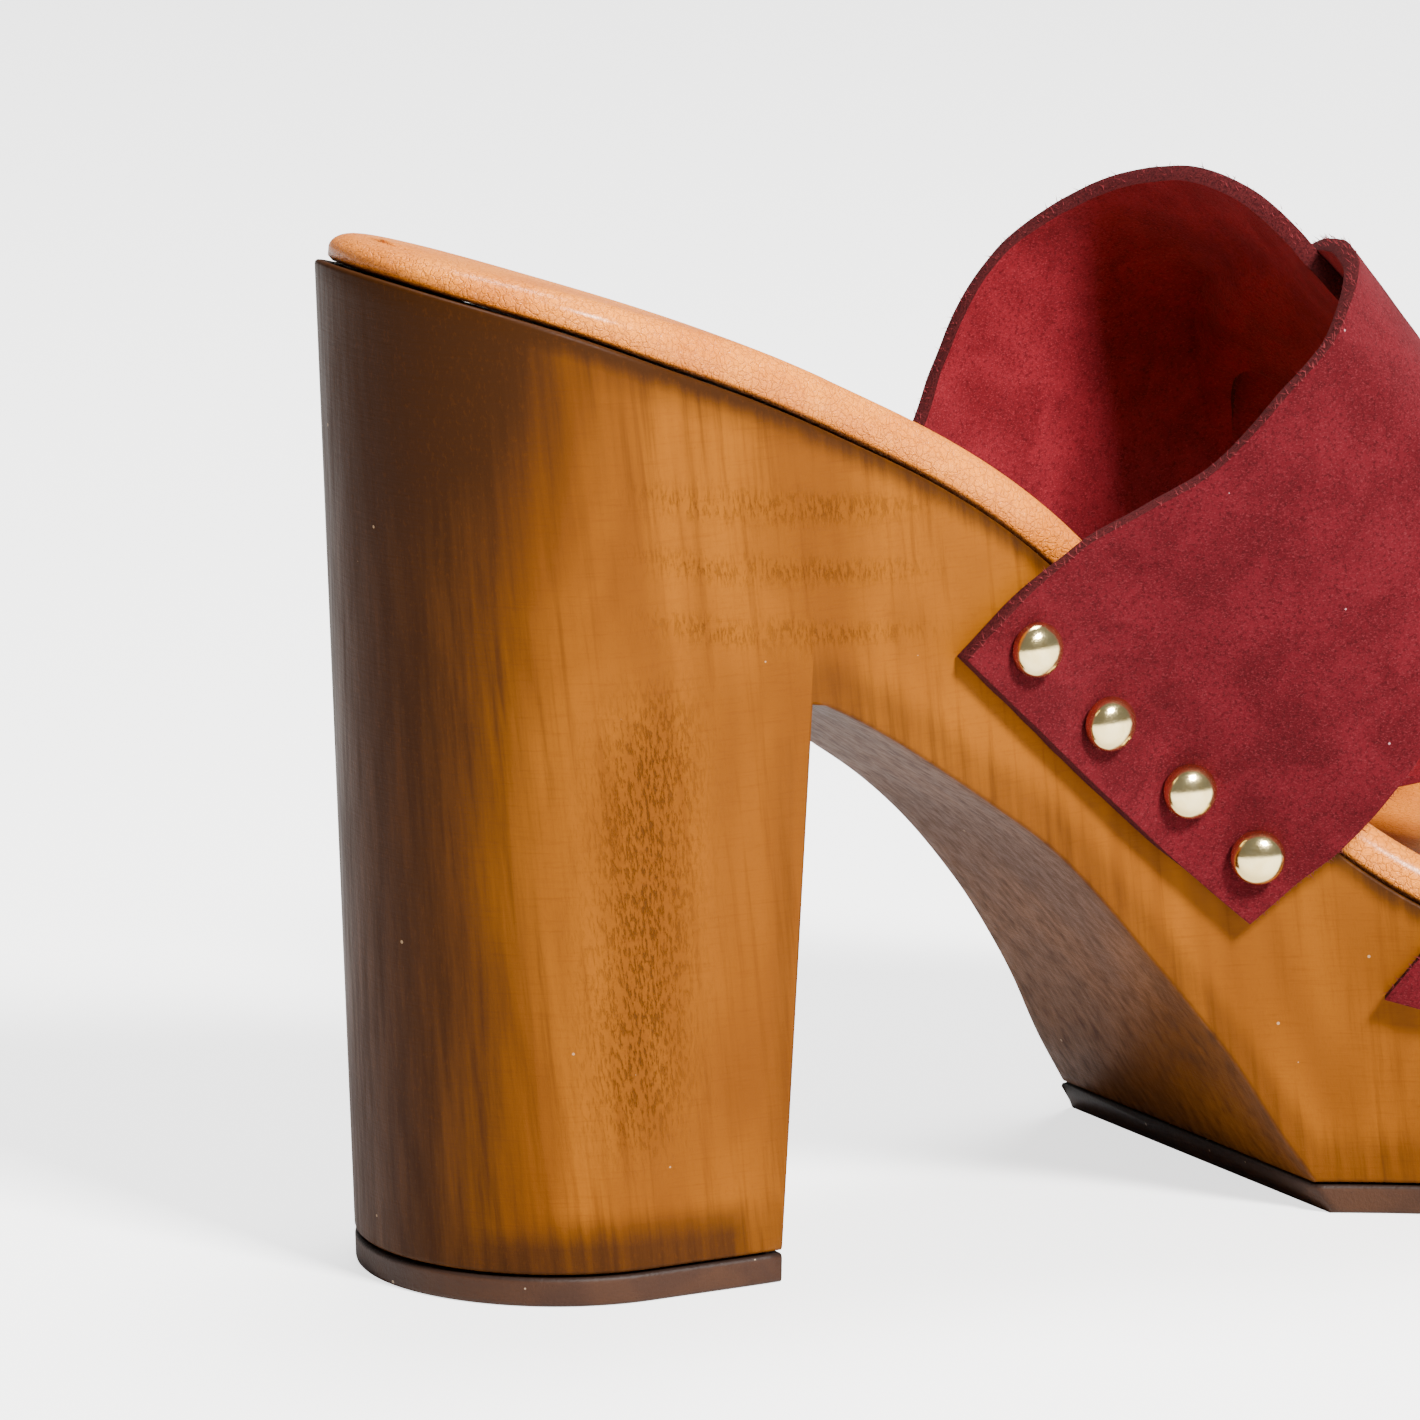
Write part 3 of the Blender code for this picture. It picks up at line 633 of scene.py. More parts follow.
@dataclass(frozen=True)
class Suede:
    """Crimson suede: short nap that catches the light in patches."""

    light: Colour = (0.082, 0.0050, 0.0082)
    dark: Colour = (0.024, 0.0010, 0.0019)
    shade: Colour = (0.052, 0.0027, 0.0045)

    def material(self, name: str = "crimson_suede", tint_and_light: float = 1.0) -> bpy.types.Material:
        """Build the material.

        Args:
            name: Name of the material.
            tint_and_light: Brightness of this face of the hide; above 1 it is partly the paler flesh side, partly
                painted light.

        Returns:
            The material.
        """
        material, g, shader = new_material(name)
        mm = g.millimetres()
        light = tuple(tint_and_light * c for c in self.light)
        dark = tuple(tint_and_light * c for c in self.dark)
        clouds = Effects.use(g, Effects.mottle(), {
            "Vector": mm, "Scale": 0.16, "Colour A": light, "Colour B": tuple(tint_and_light * c for c in self.shade), "Amount": 0.9,
        })
        nap = g.noise(mm, 2.1, 4.0, 0.75)
        hair = g.noise(g.stretch(mm, (1.0, 1.0, 1.8), (0.3, 0.4, 0.2)), 3.6, 3.0, 0.7)
        colour = g.mix(g.ramp(nap, 0.46, 0.66, 0.0, 0.65), clouds.outputs["Colour"], dark)
        colour = g.mix(g.ramp(hair, 0.52, 0.68, 0.0, 0.60), colour, tuple(min(1.0, 1.55 * c + 0.012) for c in light))
        lint = Effects.use(g, Effects.specks(), {"Vector": mm, "Scale": 0.5, "Size": 0.07, "Share": 0.05})
        colour = g.mix(g.math("MULTIPLY", lint.outputs["Mask"], 0.5), colour, (0.62, 0.32, 0.34))
        g.tree.links.new(colour, shader.inputs["Base Color"])
        shader.inputs["Roughness"].default_value = 0.95
        shader.inputs["Specular IOR Level"].default_value = 0.06
        shader.inputs["Sheen Weight"].default_value = 0.06 * tint_and_light
        shader.inputs["Sheen Roughness"].default_value = 0.45
        shader.inputs["Sheen Tint"].default_value = (1.0, 0.42, 0.45, 1.0)
        height = g.math("ADD", nap, g.math("MULTIPLY", hair, 0.6))
        g.tree.links.new(g.bump(height, 0.00022, 0.55), shader.inputs["Normal"])
        return material

    def fibre(self) -> bpy.types.Material:
        """The loose fibres of the edges."""
        material, _, shader = new_material("suede_fibre")
        shader.inputs["Base Color"].default_value = (0.16, 0.022, 0.026, 1.0)
        shader.inputs["Roughness"].default_value = 1.0
        shader.inputs["Specular IOR Level"].default_value = 0.1
        return material

    def cut_edge(self) -> bpy.types.Material:
        """The darker, fibrous cut edge."""
        material, g, shader = new_material("suede_cut_edge")
        mm = g.millimetres()
        fibre = g.noise(mm, 3.4, 4.0, 0.7)
        colour = g.mix(g.ramp(fibre, 0.4, 0.7), (0.062, 0.0075, 0.0085), (0.022, 0.002, 0.003))
        g.tree.links.new(colour, shader.inputs["Base Color"])
        shader.inputs["Roughness"].default_value = 1.0
        shader.inputs["Specular IOR Level"].default_value = 0.1
        g.tree.links.new(g.bump(fibre, 0.0003, 0.8), shader.inputs["Normal"])
        return material


@dataclass(frozen=True)
class PaleBrass:
    """Polished pale brass of the nail heads."""

    bright: Colour = (0.97, 0.79, 0.40)
    deep: Colour = (0.82, 0.60, 0.22)

    def material(self) -> bpy.types.Material:
        """Build the material."""
        material, g, shader = new_material("pale_brass")
        mm = g.millimetres()
        clouds = Effects.use(g, Effects.mottle(), {
            "Vector": mm, "Scale": 0.5, "Colour A": self.bright, "Colour B": self.deep, "Amount": 0.5,
        })
        g.tree.links.new(clouds.outputs["Colour"], shader.inputs["Base Color"])
        shader.inputs["Metallic"].default_value = 1.0
        scratch = g.noise(g.stretch(mm, (6.0, 1.2, 6.0), (0.4, 0.2, 0.7)), 1.0, 3.0, 0.6)
        g.tree.links.new(g.ramp(scratch, 0.35, 0.75, 0.12, 0.24), shader.inputs["Roughness"])
        g.tree.links.new(g.bump(scratch, 0.00002, 0.4), shader.inputs["Normal"])
        return material


@dataclass
class WoodenSole:
    """The carved sole with its heel lift and its outsole."""

    last: Last
    edge: float = 0.0006
    back_steps: int = 40
    wall_steps: int = 44

    def shape(self, rib: Rib, point: RingPoint) -> Vector:
        """Place of a point of the carved sole."""
        last = self.last
        guess = last.place(rib.top_turn, point.across, last.heel_height, point.inset)
        high = last.top(guess[0]) - point.drop
        low = rib.low_z + point.drop
        z = low + (high - low) * point.rise
        turn = rib.low_turn + (rib.top_turn - rib.low_turn) * point.rise
        x, y = last.place(turn, point.across, z, point.inset)
        return Vector((x, y, z))

    def ribs(self) -> list[Rib]:
        """Sections from the heel back over breast and arch to the toe tip."""
        last = self.last
        out = [Rib(k / self.back_steps, k / self.back_steps, last.base) for k in range(self.back_steps)]
        for k in range(9):
            turn = last.turn_at(last.breast * k / 8)
            out.append(Rib(turn, turn, last.base))
        crest = last.arch_curve.at(last.arch_start)
        foot = last.arch_start - 0.0013
        for k in range(1, 15):
            turn = last.turn_at(last.breast + (foot - last.breast) * k / 14)
            out.append(Rib(turn, turn, last.base + (crest - last.base) * k / 14))
        for k in range(1, 91):
            x = last.arch_start + (last.arch_end - last.arch_start) * k / 90
            out.append(Rib(last.turn_at(x), last.turn_at(x), last.arch_curve.at(x)))
        for k in range(1, 61):
            x = last.arch_end + (last.toe_start - last.arch_end) * k / 60
            out.append(Rib(last.turn_at(x), last.turn_at(x), last.base + last.rise(x)))
        for k in range(1, self.back_steps + 1):
            turn = 2.0 + k / self.back_steps
            out.append(Rib(turn, turn, last.base + last.rise(last.place(turn, 0.0, 0.0, 0.0)[0])))
        return out

    def shade_and_stain(self, spot: Vector, rib: Rib, point: RingPoint) -> float:
        """How dark the wood is painted at a point: heel back, edges and the arch; partly its dark staining, partly
        painted shade.
        """
        last = self.last
        # Heel back: partly dark staining, partly painted shade on the side turned away from the light.
        back = smooth(-0.003, -0.0235, spot.x) * 0.86
        under_top = smooth(0.0042, 0.0002, last.top(spot.x) - spot.z) * 0.8
        shoulder = smooth(0.034, 0.003, last.top(spot.x) - spot.z) * smooth(0.034, -0.012, spot.x) * 0.55
        foot = smooth(0.009, 0.003, spot.z - rib.low_z) * (0.75 if spot.x < 0.012 else 0.45)
        # Bottom faces: partly dark staining, partly painted shade where they face the floor.
        low = 0.58 if point.rise <= 0.0 and point.inset >= self.edge * 0.99 else 0.0
        corner = smooth(0.012, 0.0168, spot.x) * smooth(0.0185, 0.0168, spot.x) * 0.3 if spot.z < 0.062 else 0.0
        return min(1.0, max(back, under_top, foot, low, corner) + 0.6 * shoulder)

    def pores(self, spot: Vector, rib: Rib, point: RingPoint) -> float:
        """Where open pores show on the walls."""
        patch = math.exp(-((spot.x + 0.001 - 0.02 * (spot.z - 0.05)) / 0.0055) ** 2) * smooth(0.012, 0.026, spot.z) * smooth(0.074, 0.060, spot.z)
        arcs = 0.0
        for rise, reach in ((0.088, 0.0016), (0.081, 0.0013), (0.074, 0.0012)):
            bend = spot.z - rise + 0.14 * (spot.x - 0.012) - 2.0 * (spot.x - 0.012) ** 2
            arcs = max(arcs, math.exp(-(bend / reach) ** 2) * smooth(-0.008, 0.004, spot.x) * smooth(0.045, 0.02, spot.x))
        return min(1.0, patch + 0.7 * arcs)

    def build_wood(self, finish: bpy.types.Material) -> bpy.types.Object:
        """Carve the sole."""
        ring = ring_outline(self.wall_steps, 12, self.edge, self.edge, 3)
        mesh = skin(self.ribs(), ring, self.shape, {"shade_and_stain": self.shade_and_stain, "pores": self.pores})
        piece = finish_mesh("carved_sole", mesh, [finish])
        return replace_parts(piece, "wood_sole")

    def slab(self, rib: Rib, point: RingPoint) -> Vector:
        """Place of a point of the thin sheets under the wood."""
        last = self.last
        high = rib.fade + last.tread - point.drop
        low = rib.fade + point.drop
        z = low + (high - low) * point.rise
        turn = rib.low_turn + (rib.top_turn - rib.low_turn) * point.rise
        x, y = last.place(turn, point.across, z, point.inset)
        return Vector((x, y, z))

    def slab_groove_dark(self, spot: Vector, rib: Rib, point: RingPoint) -> float:
        """Dark dirt in the groove above a sheet."""
        # How much darker a sheet is along its top, in the groove under the wood.
        return 0.8 * smooth(0.0006, 0.0001, rib.fade + self.last.tread - spot.z)

    def build_lift(self, finish: bpy.types.Material) -> bpy.types.Object:
        """Top piece under the heel."""
        last = self.last
        turns = [k / self.back_steps for k in range(self.back_steps)]
        turns += [last.turn_at(last.breast * k / 10) for k in range(11)]
        ribs = [Rib(turn, turn, 0.0, 0.0) for turn in turns]
        mesh = skin(ribs, ring_outline(8, 10, 0.0005, 0.0005, 3), self.slab, {"shade_and_stain": self.slab_groove_dark})
        bmesh.ops.holes_fill(mesh, edges=mesh.edges, sides=0)
        bmesh.ops.recalc_face_normals(mesh, faces=mesh.faces)
        piece = finish_mesh("heel_top_piece", mesh, [finish])
        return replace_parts(piece, "heel_lift")

    def build_outsole(self, finish: bpy.types.Material) -> bpy.types.Object:
        """Sheet under the platform, its rear edge slanting forward."""
        last = self.last
        slant = 0.5 * last.tread
        ribs = []
        for k in range(61):
            share = k / 60
            top = last.arch_end + (last.toe_start - last.arch_end) * share
            low = last.arch_end + slant + (last.toe_start - last.arch_end - slant) * share
            ribs.append(Rib(last.turn_at(top), last.turn_at(low), 0.0, last.rise(top)))
        for k in range(1, self.back_steps + 1):
            turn = 2.0 + k / self.back_steps
            ribs.append(Rib(turn, turn, 0.0, last.rise(last.place(turn, 0.0, 0.0, 0.0)[0])))
        mesh = skin(ribs, ring_outline(8, 12, 0.0005, 0.0005, 3), self.slab, {"shade_and_stain": self.slab_groove_dark})
        bmesh.ops.holes_fill(mesh, edges=mesh.edges, sides=0)
        bmesh.ops.recalc_face_normals(mesh, faces=mesh.faces)
        piece = finish_mesh("outsole_sheet", mesh, [finish])
        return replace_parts(piece, "outsole")


@dataclass
class Insole:
    """Padded leather sheet with a rolled edge."""

    last: Last
    thickness: float = 0.0050
    inset: float = 0.0011
    roll: float = 0.0029
    skive: float = 0.68
    skive_length: float = 0.040

    def shape(self, rib: Rib, point: RingPoint) -> Vector:
        """Place of a point of the insole."""
        last = self.last
        x, _ = last.place(rib.top_turn, point.across, last.heel_height, self.inset + point.inset)
        slope = last.slope(x)
        share = smooth(0.0, 1.0, (x + last.heel_back) / self.skive_length)
        thick = self.thickness * (self.skive + (1.0 - self.skive) * share)
        crown = 0.0004 * (1.0 - point.across ** 2) if point.rise > 0.99 else 0.0
        level = last.seam + point.drop + (thick - 2.0 * point.drop) * point.rise + crown
        stand = 1.0 / math.sqrt(1.0 + slope * slope)
        x, y = last.place(rib.top_turn, point.across, last.heel_height if x < 0.02 else last.top(x), self.inset + point.inset)
        return Vector((x - slope * stand * level, y, last.top(x) + stand * level))

    def build(self, finish: bpy.types.Material) -> bpy.types.Object:
        """Build the insole."""
        last = self.last
        turns = [k / 44 for k in range(44)]
        turns += [1.0 + k / 150 for k in range(150)]
        turns += [2.0 + k / 40 for k in range(41)]
        ribs = [Rib(turn, turn, 0.0) for turn in turns]
        ring = []
        for across in (-1.0, 1.0):
            arc = [HALF_TURN * k / 9 for k in range(10)]
            sweep = [RingPoint(across, 0.0, 0.0008, 0.0), RingPoint(across, 0.12, 0.0002, 0.0)]
            for angle in arc:
                reach = self.roll * (1.0 - math.cos(angle))
                rise = 1.0 - (self.roll / self.thickness) * (1.0 - math.sin(angle))
                sweep.append(RingPoint(across, rise, reach, 0.0))
            if across > 0.0:
                sweep.reverse()
            ring += sweep
            inner = [1.0 - 2.0 * k / 24 for k in range(1, 24)]
            level, draw = (1.0, self.roll) if across < 0.0 else (0.0, 0.0008)
            ring += [RingPoint(across * share, level, draw, 0.0) for share in inner]
        # The insole darkens towards the bottom of its edge.
        mesh = skin(ribs, ring, self.shape, {"shade_and_stain": lambda spot, rib, point: smooth(0.16, 0.0, point.rise)})
        piece = finish_mesh("padded_insole", mesh, [finish])
        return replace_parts(piece, "insole")


STRAP_COLUMNS = ("rear_x", "rear_y", "rear_z", "front_x", "front_y", "front_z", "grip")
OVER_ROWS = (
    (0.298, -0.298, 0.601, 0.469, -0.317, 0.303, 1.000),
    (0.332, -0.310, 0.653, 0.490, -0.337, 0.341, 1.000),
    (0.363, -0.310, 0.696, 0.511, -0.357, 0.379, 0.400),
    (0.395, -0.336, 0.733, 0.527, -0.388, 0.424, 0.080),
    (0.426, -0.374, 0.773, 0.550, -0.414, 0.490, 0.000),
    (0.459, -0.405, 0.841, 0.580, -0.429, 0.580, 0.000),
    (0.487, -0.402, 0.887, 0.609, -0.426, 0.637, 0.000),
    (0.509, -0.367, 0.926, 0.630, -0.395, 0.681, 0.000),
    (0.531, -0.295, 0.953, 0.648, -0.310, 0.692, 0.000),
    (0.551, -0.185, 0.958, 0.665, -0.185, 0.684, 0.000),
    (0.570, -0.060, 0.947, 0.681, -0.054, 0.664, 0.000),
    (0.588, 0.071, 0.921, 0.697, 0.083, 0.636, 0.000),
    (0.597, 0.208, 0.874, 0.714, 0.220, 0.598, 0.000),
    (0.608, 0.333, 0.805, 0.732, 0.345, 0.540, 0.000),
    (0.615, 0.426, 0.707, 0.749, 0.440, 0.471, 0.000),
    (0.614, 0.462, 0.584, 0.763, 0.490, 0.378, 0.040),
    (0.605, 0.462, 0.461, 0.772, 0.507, 0.303, 0.300),
    (0.589, 0.445, 0.347, 0.775, 0.514, 0.242, 0.800),
    (0.569, 0.431, 0.283, 0.773, 0.518, 0.167, 1.000),
    (0.546, 0.423, 0.223, 0.764, 0.521, 0.095, 1.000),
)
UNDER_ROWS = (
    (0.314, 0.310, 0.585, 0.476, 0.369, 0.308, 1.000),
    (0.349, 0.321, 0.633, 0.499, 0.387, 0.347, 1.000),
    (0.381, 0.327, 0.678, 0.522, 0.405, 0.385, 0.400),
    (0.408, 0.355, 0.728, 0.541, 0.417, 0.448, 0.080),
    (0.429, 0.383, 0.786, 0.571, 0.424, 0.527, 0.000),
    (0.448, 0.395, 0.849, 0.608, 0.424, 0.615, 0.000),
    (0.470, 0.388, 0.902, 0.623, 0.408, 0.699, 0.000),
    (0.494, 0.348, 0.946, 0.626, 0.374, 0.787, 0.000),
    (0.517, 0.260, 0.986, 0.637, 0.326, 0.815, 0.000),
    (0.535, 0.148, 1.004, 0.650, 0.219, 0.772, 0.000),
    (0.547, 0.036, 0.989, 0.663, 0.095, 0.722, 0.000),
    (0.561, -0.071, 0.940, 0.678, -0.024, 0.682, 0.000),
    (0.580, -0.185, 0.880, 0.696, -0.149, 0.636, 0.000),
    (0.599, -0.292, 0.808, 0.715, -0.274, 0.580, 0.000),
    (0.609, -0.371, 0.707, 0.735, -0.386, 0.503, 0.000),
    (0.607, -0.412, 0.589, 0.750, -0.452, 0.409, 0.040),
    (0.595, -0.424, 0.470, 0.759, -0.479, 0.321, 0.300),
    (0.576, -0.419, 0.357, 0.763, -0.488, 0.246, 0.800),
    (0.555, -0.405, 0.290, 0.760, -0.490, 0.170, 1.000),
    (0.533, -0.386, 0.225, 0.751, -0.493, 0.097, 1.000),
)


@dataclass
class Strap:
    """One wide suede strap, nailed at both ends."""

    name: str
    last: Last
    rows: tuple
    thickness: float = 0.0021
    rest: float = 0.00045
    pucker: float = 0.00035
    pucker_reach: float = 0.0042
    long_steps: int = 230
    wide_steps: int = 66
    lift: Callable[[float, float], float] = lambda t, v: 0.0
    curves: dict[str, Curve] = field(default_factory=dict)

    def __post_init__(self) -> None:
        """Work out the edge curves once."""
        knots = np.linspace(0.0, 1.0, len(self.rows))
        table = np.array(self.rows)
        for k, name in enumerate(STRAP_COLUMNS):
            self.curves[name] = Curve(knots, table[:, k])

    def point(self, t: float, v: float) -> Vector:
        """Point of the strap's outer face.

        Args:
            t: 0 at the rear end, 1 at the front end.
            v: 0 at the rear edge, 1 at the front edge.

        Returns:
            The point in metres.
        """
        last = self.last
        row = {name: curve.at(t) for name, curve in self.curves.items()}
        x = last.station((1.0 - v) * row["rear_x"] + v * row["front_x"])
        y = ((1.0 - v) * row["rear_y"] + v * row["front_y"]) * last.ball_width
        z = ((1.0 - v) * row["rear_z"] + v * row["front_z"]) * last.heel_height
        side = Side.NEAR if y < 0.0 else Side.FAR
        grip = min(1.0, max(0.0, row["grip"]))
        low = z < last.top(x) + self.thickness
        if grip > 0.0 or low:
            held = side.value * last.wall_offset(side, x, min(z, last.top(x)), self.rest + self.thickness)
            y = (1.0 - grip) * y + grip * held
            if low and abs(y) < abs(held):
                y = held
        return Vector((x, y, z))

    def grid(self) -> list[list[Vector]]:
        """All points of the outer face."""
        return [
            [self.point(k / self.long_steps, j / self.wide_steps) for j in range(self.wide_steps + 1)]
            for k in range(self.long_steps + 1)
        ]

    def press_nails(self, rows: list[list[Vector]], spots: Sequence[Vector]) -> None:
        """Sink the hide a little round each nail.

        Args:
            rows: Points of the outer face, changed in place.
            spots: Centres of the nail heads.

        Returns:
            Nothing.
        """
        for row in rows:
            for j, point in enumerate(row):
                if abs(point.y) < 0.5 * self.last.ball_width * 0.5:
                    continue
                near = min((point - spot).length for spot in spots)
                if near < 3.0 * self.pucker_reach:
                    sink = self.pucker * math.exp(-(near / self.pucker_reach) ** 2)
                    row[j] = point - Vector((0.0, math.copysign(sink, point.y), 0.0))

    def tree(self, rows: list[list[Vector]]) -> BVHTree:
        """Search tree over the outer face."""
        width = self.wide_steps + 1
        points = [p for row in rows for p in row]
        faces = []
        for k in range(self.long_steps):
            for j in range(self.wide_steps):
                n = k * width + j
                faces.append((n, n + 1, n + width + 1, n + width))
        return BVHTree.FromPolygons(points, faces)

    def build(self, rows: list[list[Vector]], materials: Sequence[bpy.types.Material]) -> bpy.types.Object:
        """Make the strap from the points of its outer face.

        Args:
            rows: The points, row by row along the strap.
            materials: Suede, cut edge and flesh side.

        Returns:
            The strap's object.
        """
        mesh = bmesh.new()
        mesh.loops.layers.uv.new("strap")
        bmesh.ops.create_grid(mesh, x_segments=self.long_steps, y_segments=self.wide_steps, size=1.0, calc_uvs=True)
        for vert in mesh.verts:
            k = round((vert.co.x + 1.0) * 0.5 * self.long_steps)
            j = round((vert.co.y + 1.0) * 0.5 * self.wide_steps)
            vert.co = rows[k][j]
        mesh.normal_update()
        highest = max(mesh.faces, key=lambda face: face.calc_center_median().z)
        if highest.normal.z < 0.0:
            bmesh.ops.reverse_faces(mesh, faces=mesh.faces)
        mesh.normal_update()
        width = self.wide_steps
        for vert in mesh.verts:
            grain = noise.noise(vert.co * 260.0) * 0.00010 + noise.noise(vert.co * 90.0) * 0.00022
            vert.co += vert.normal * grain
        piece = finish_mesh(self.name, mesh, materials)
        shell = piece.modifiers.new("Thickness", "SOLIDIFY")
        shell.thickness = self.thickness
        shell.offset = -1.0
        shell.material_offset_rim = 1
        shell.material_offset = 2
        bevel = piece.modifiers.new("Edge", "BEVEL")
        bevel.limit_method = "ANGLE"
        bevel.angle_limit = math.radians(55.0)
        bevel.width = 0.00035
        bevel.segments = 2
        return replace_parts(piece, "upper")


@dataclass
class CrossedStraps:
    """Both straps, the lower one pressed against the upper where they cross."""

    last: Last
    play: float = 0.00012
    first_row: float = 0.26
    last_row: float = 0.90

    def press(self, rows: list[list[Vector]], tree: BVHTree, wanted: float) -> list[list[Vector]]:
        """Push the lower strap below the upper one and ease the result.

        Args:
            rows: Outer face of the lower strap.
            tree: Search tree over the upper strap's outer face.
            wanted: Depth that the lower strap needs below it.

        Returns:
            The pressed rows.
        """
        first, end = int(self.first_row * len(rows)), int(self.last_row * len(rows))
        for turn in range(14):
            for k in range(first, end):
                for j, point in enumerate(rows[k]):
                    hit, normal, _, _ = tree.find_nearest(point)
                    centre = Vector((point.x, 0.0, 0.5 * point.z))
                    if normal.dot(hit - centre) < 0.0:
                        normal = -normal
                    depth = (hit - point).dot(normal)
                    slide = (point + normal * depth - hit).length
                    need = wanted * (1.0 - smooth(0.0, 0.004, slide))
                    if need > 0.0 and depth < need:
                        rows[k][j] = point - normal * (need - depth)
            if turn == 13:
                break
            eased = [list(row) for row in rows]
            for k in range(first - 4, end + 4):
                for j in range(len(rows[k])):
                    before, after = rows[k - 1][j], rows[k + 1][j]
                    left, right = rows[k][max(0, j - 1)], rows[k][min(len(rows[k]) - 1, j + 1)]
                    middle = (before + after) / 2.0 if j in (0, len(rows[k]) - 1) else (before + after + left + right) / 4.0
                    eased[k][j] = rows[k][j].lerp(middle, 0.6)
            rows = eased
        return rows

    def build(self, suede: Suede) -> list[Strap]:
        """Build both straps."""
        face = suede.material()
        # The inside faces get a brighter copy of the suede: partly the paler flesh side, partly painted light.
        flesh = suede.material("crimson_suede_inside", 1.75)
        edge = suede.cut_edge()
        over = Strap("strap_over", self.last, OVER_ROWS)
        under = Strap("strap_under", self.last, UNDER_ROWS)
        top = over.grid()
        low = self.press(under.grid(), over.tree(top), over.thickness + self.play)
        nails = Studs(self.last)
        over.press_nails(top, nails.centres(over, End.REAR) + nails.centres(over, End.FRONT))
        under.press_nails(low, nails.centres(under, End.REAR) + nails.centres(under, End.FRONT))
        over.build(top, [face, edge, flesh])
        under.build(low, [face, edge, flesh])
        Fuzz().build([over, under], [top, low], suede.fibre())
        return [over, under]


@dataclass
class Fuzz:
    """Short fibres that stand off the cut edges of the straps."""

    count: int = 900
    reach: float = 0.0008
    radius: float = 0.00006
    seed: int = 7

    def build(self, straps: Sequence[Strap], faces: Sequence[list[list[Vector]]], finish: bpy.types.Material) -> bpy.types.Object:
        """Set the fibres along every edge.

        Args:
            straps: The straps.
            faces: Points of the outer face of each strap.
            finish: Material of the fibres.

        Returns:
            One object with all fibres.
        """
        dice = random.Random(self.seed)
        relief = 0.0004
        mesh = bmesh.new()
        for strap, rows in zip(straps, faces):
            for _ in range(self.count):
                k = dice.randrange(1, len(rows) - 1)
                j, inner = dice.choice(((0, 1), (strap.wide_steps, strap.wide_steps - 1)))
                edge, inside = rows[k][j], rows[k][inner]
                along = (rows[k + 1][j] - rows[k - 1][j]).normalized()
                outward = (edge - inside).normalized()
                normal = along.cross(outward).normalized()
                if normal.dot(edge - Vector((edge.x, 0.0, 0.5 * edge.z))) < 0.0:
                    normal = -normal
                foot = edge + normal * (relief - strap.thickness * dice.uniform(0.1, 0.9)) - outward * 0.0001
                way = outward + along * dice.uniform(-0.9, 0.9) + normal * dice.uniform(-0.5, 0.5)
                size = self.reach * dice.uniform(0.5, 1.5)
                turn = way.to_track_quat("Z", "X").to_matrix().to_4x4()
                place = Matrix.Translation(foot + way.normalized() * 0.5 * size) @ turn
                bmesh.ops.create_cone(mesh, segments=3, radius1=self.radius, radius2=0.0, depth=size, matrix=place)
        return finish_mesh("strap_fibres", mesh, [finish])


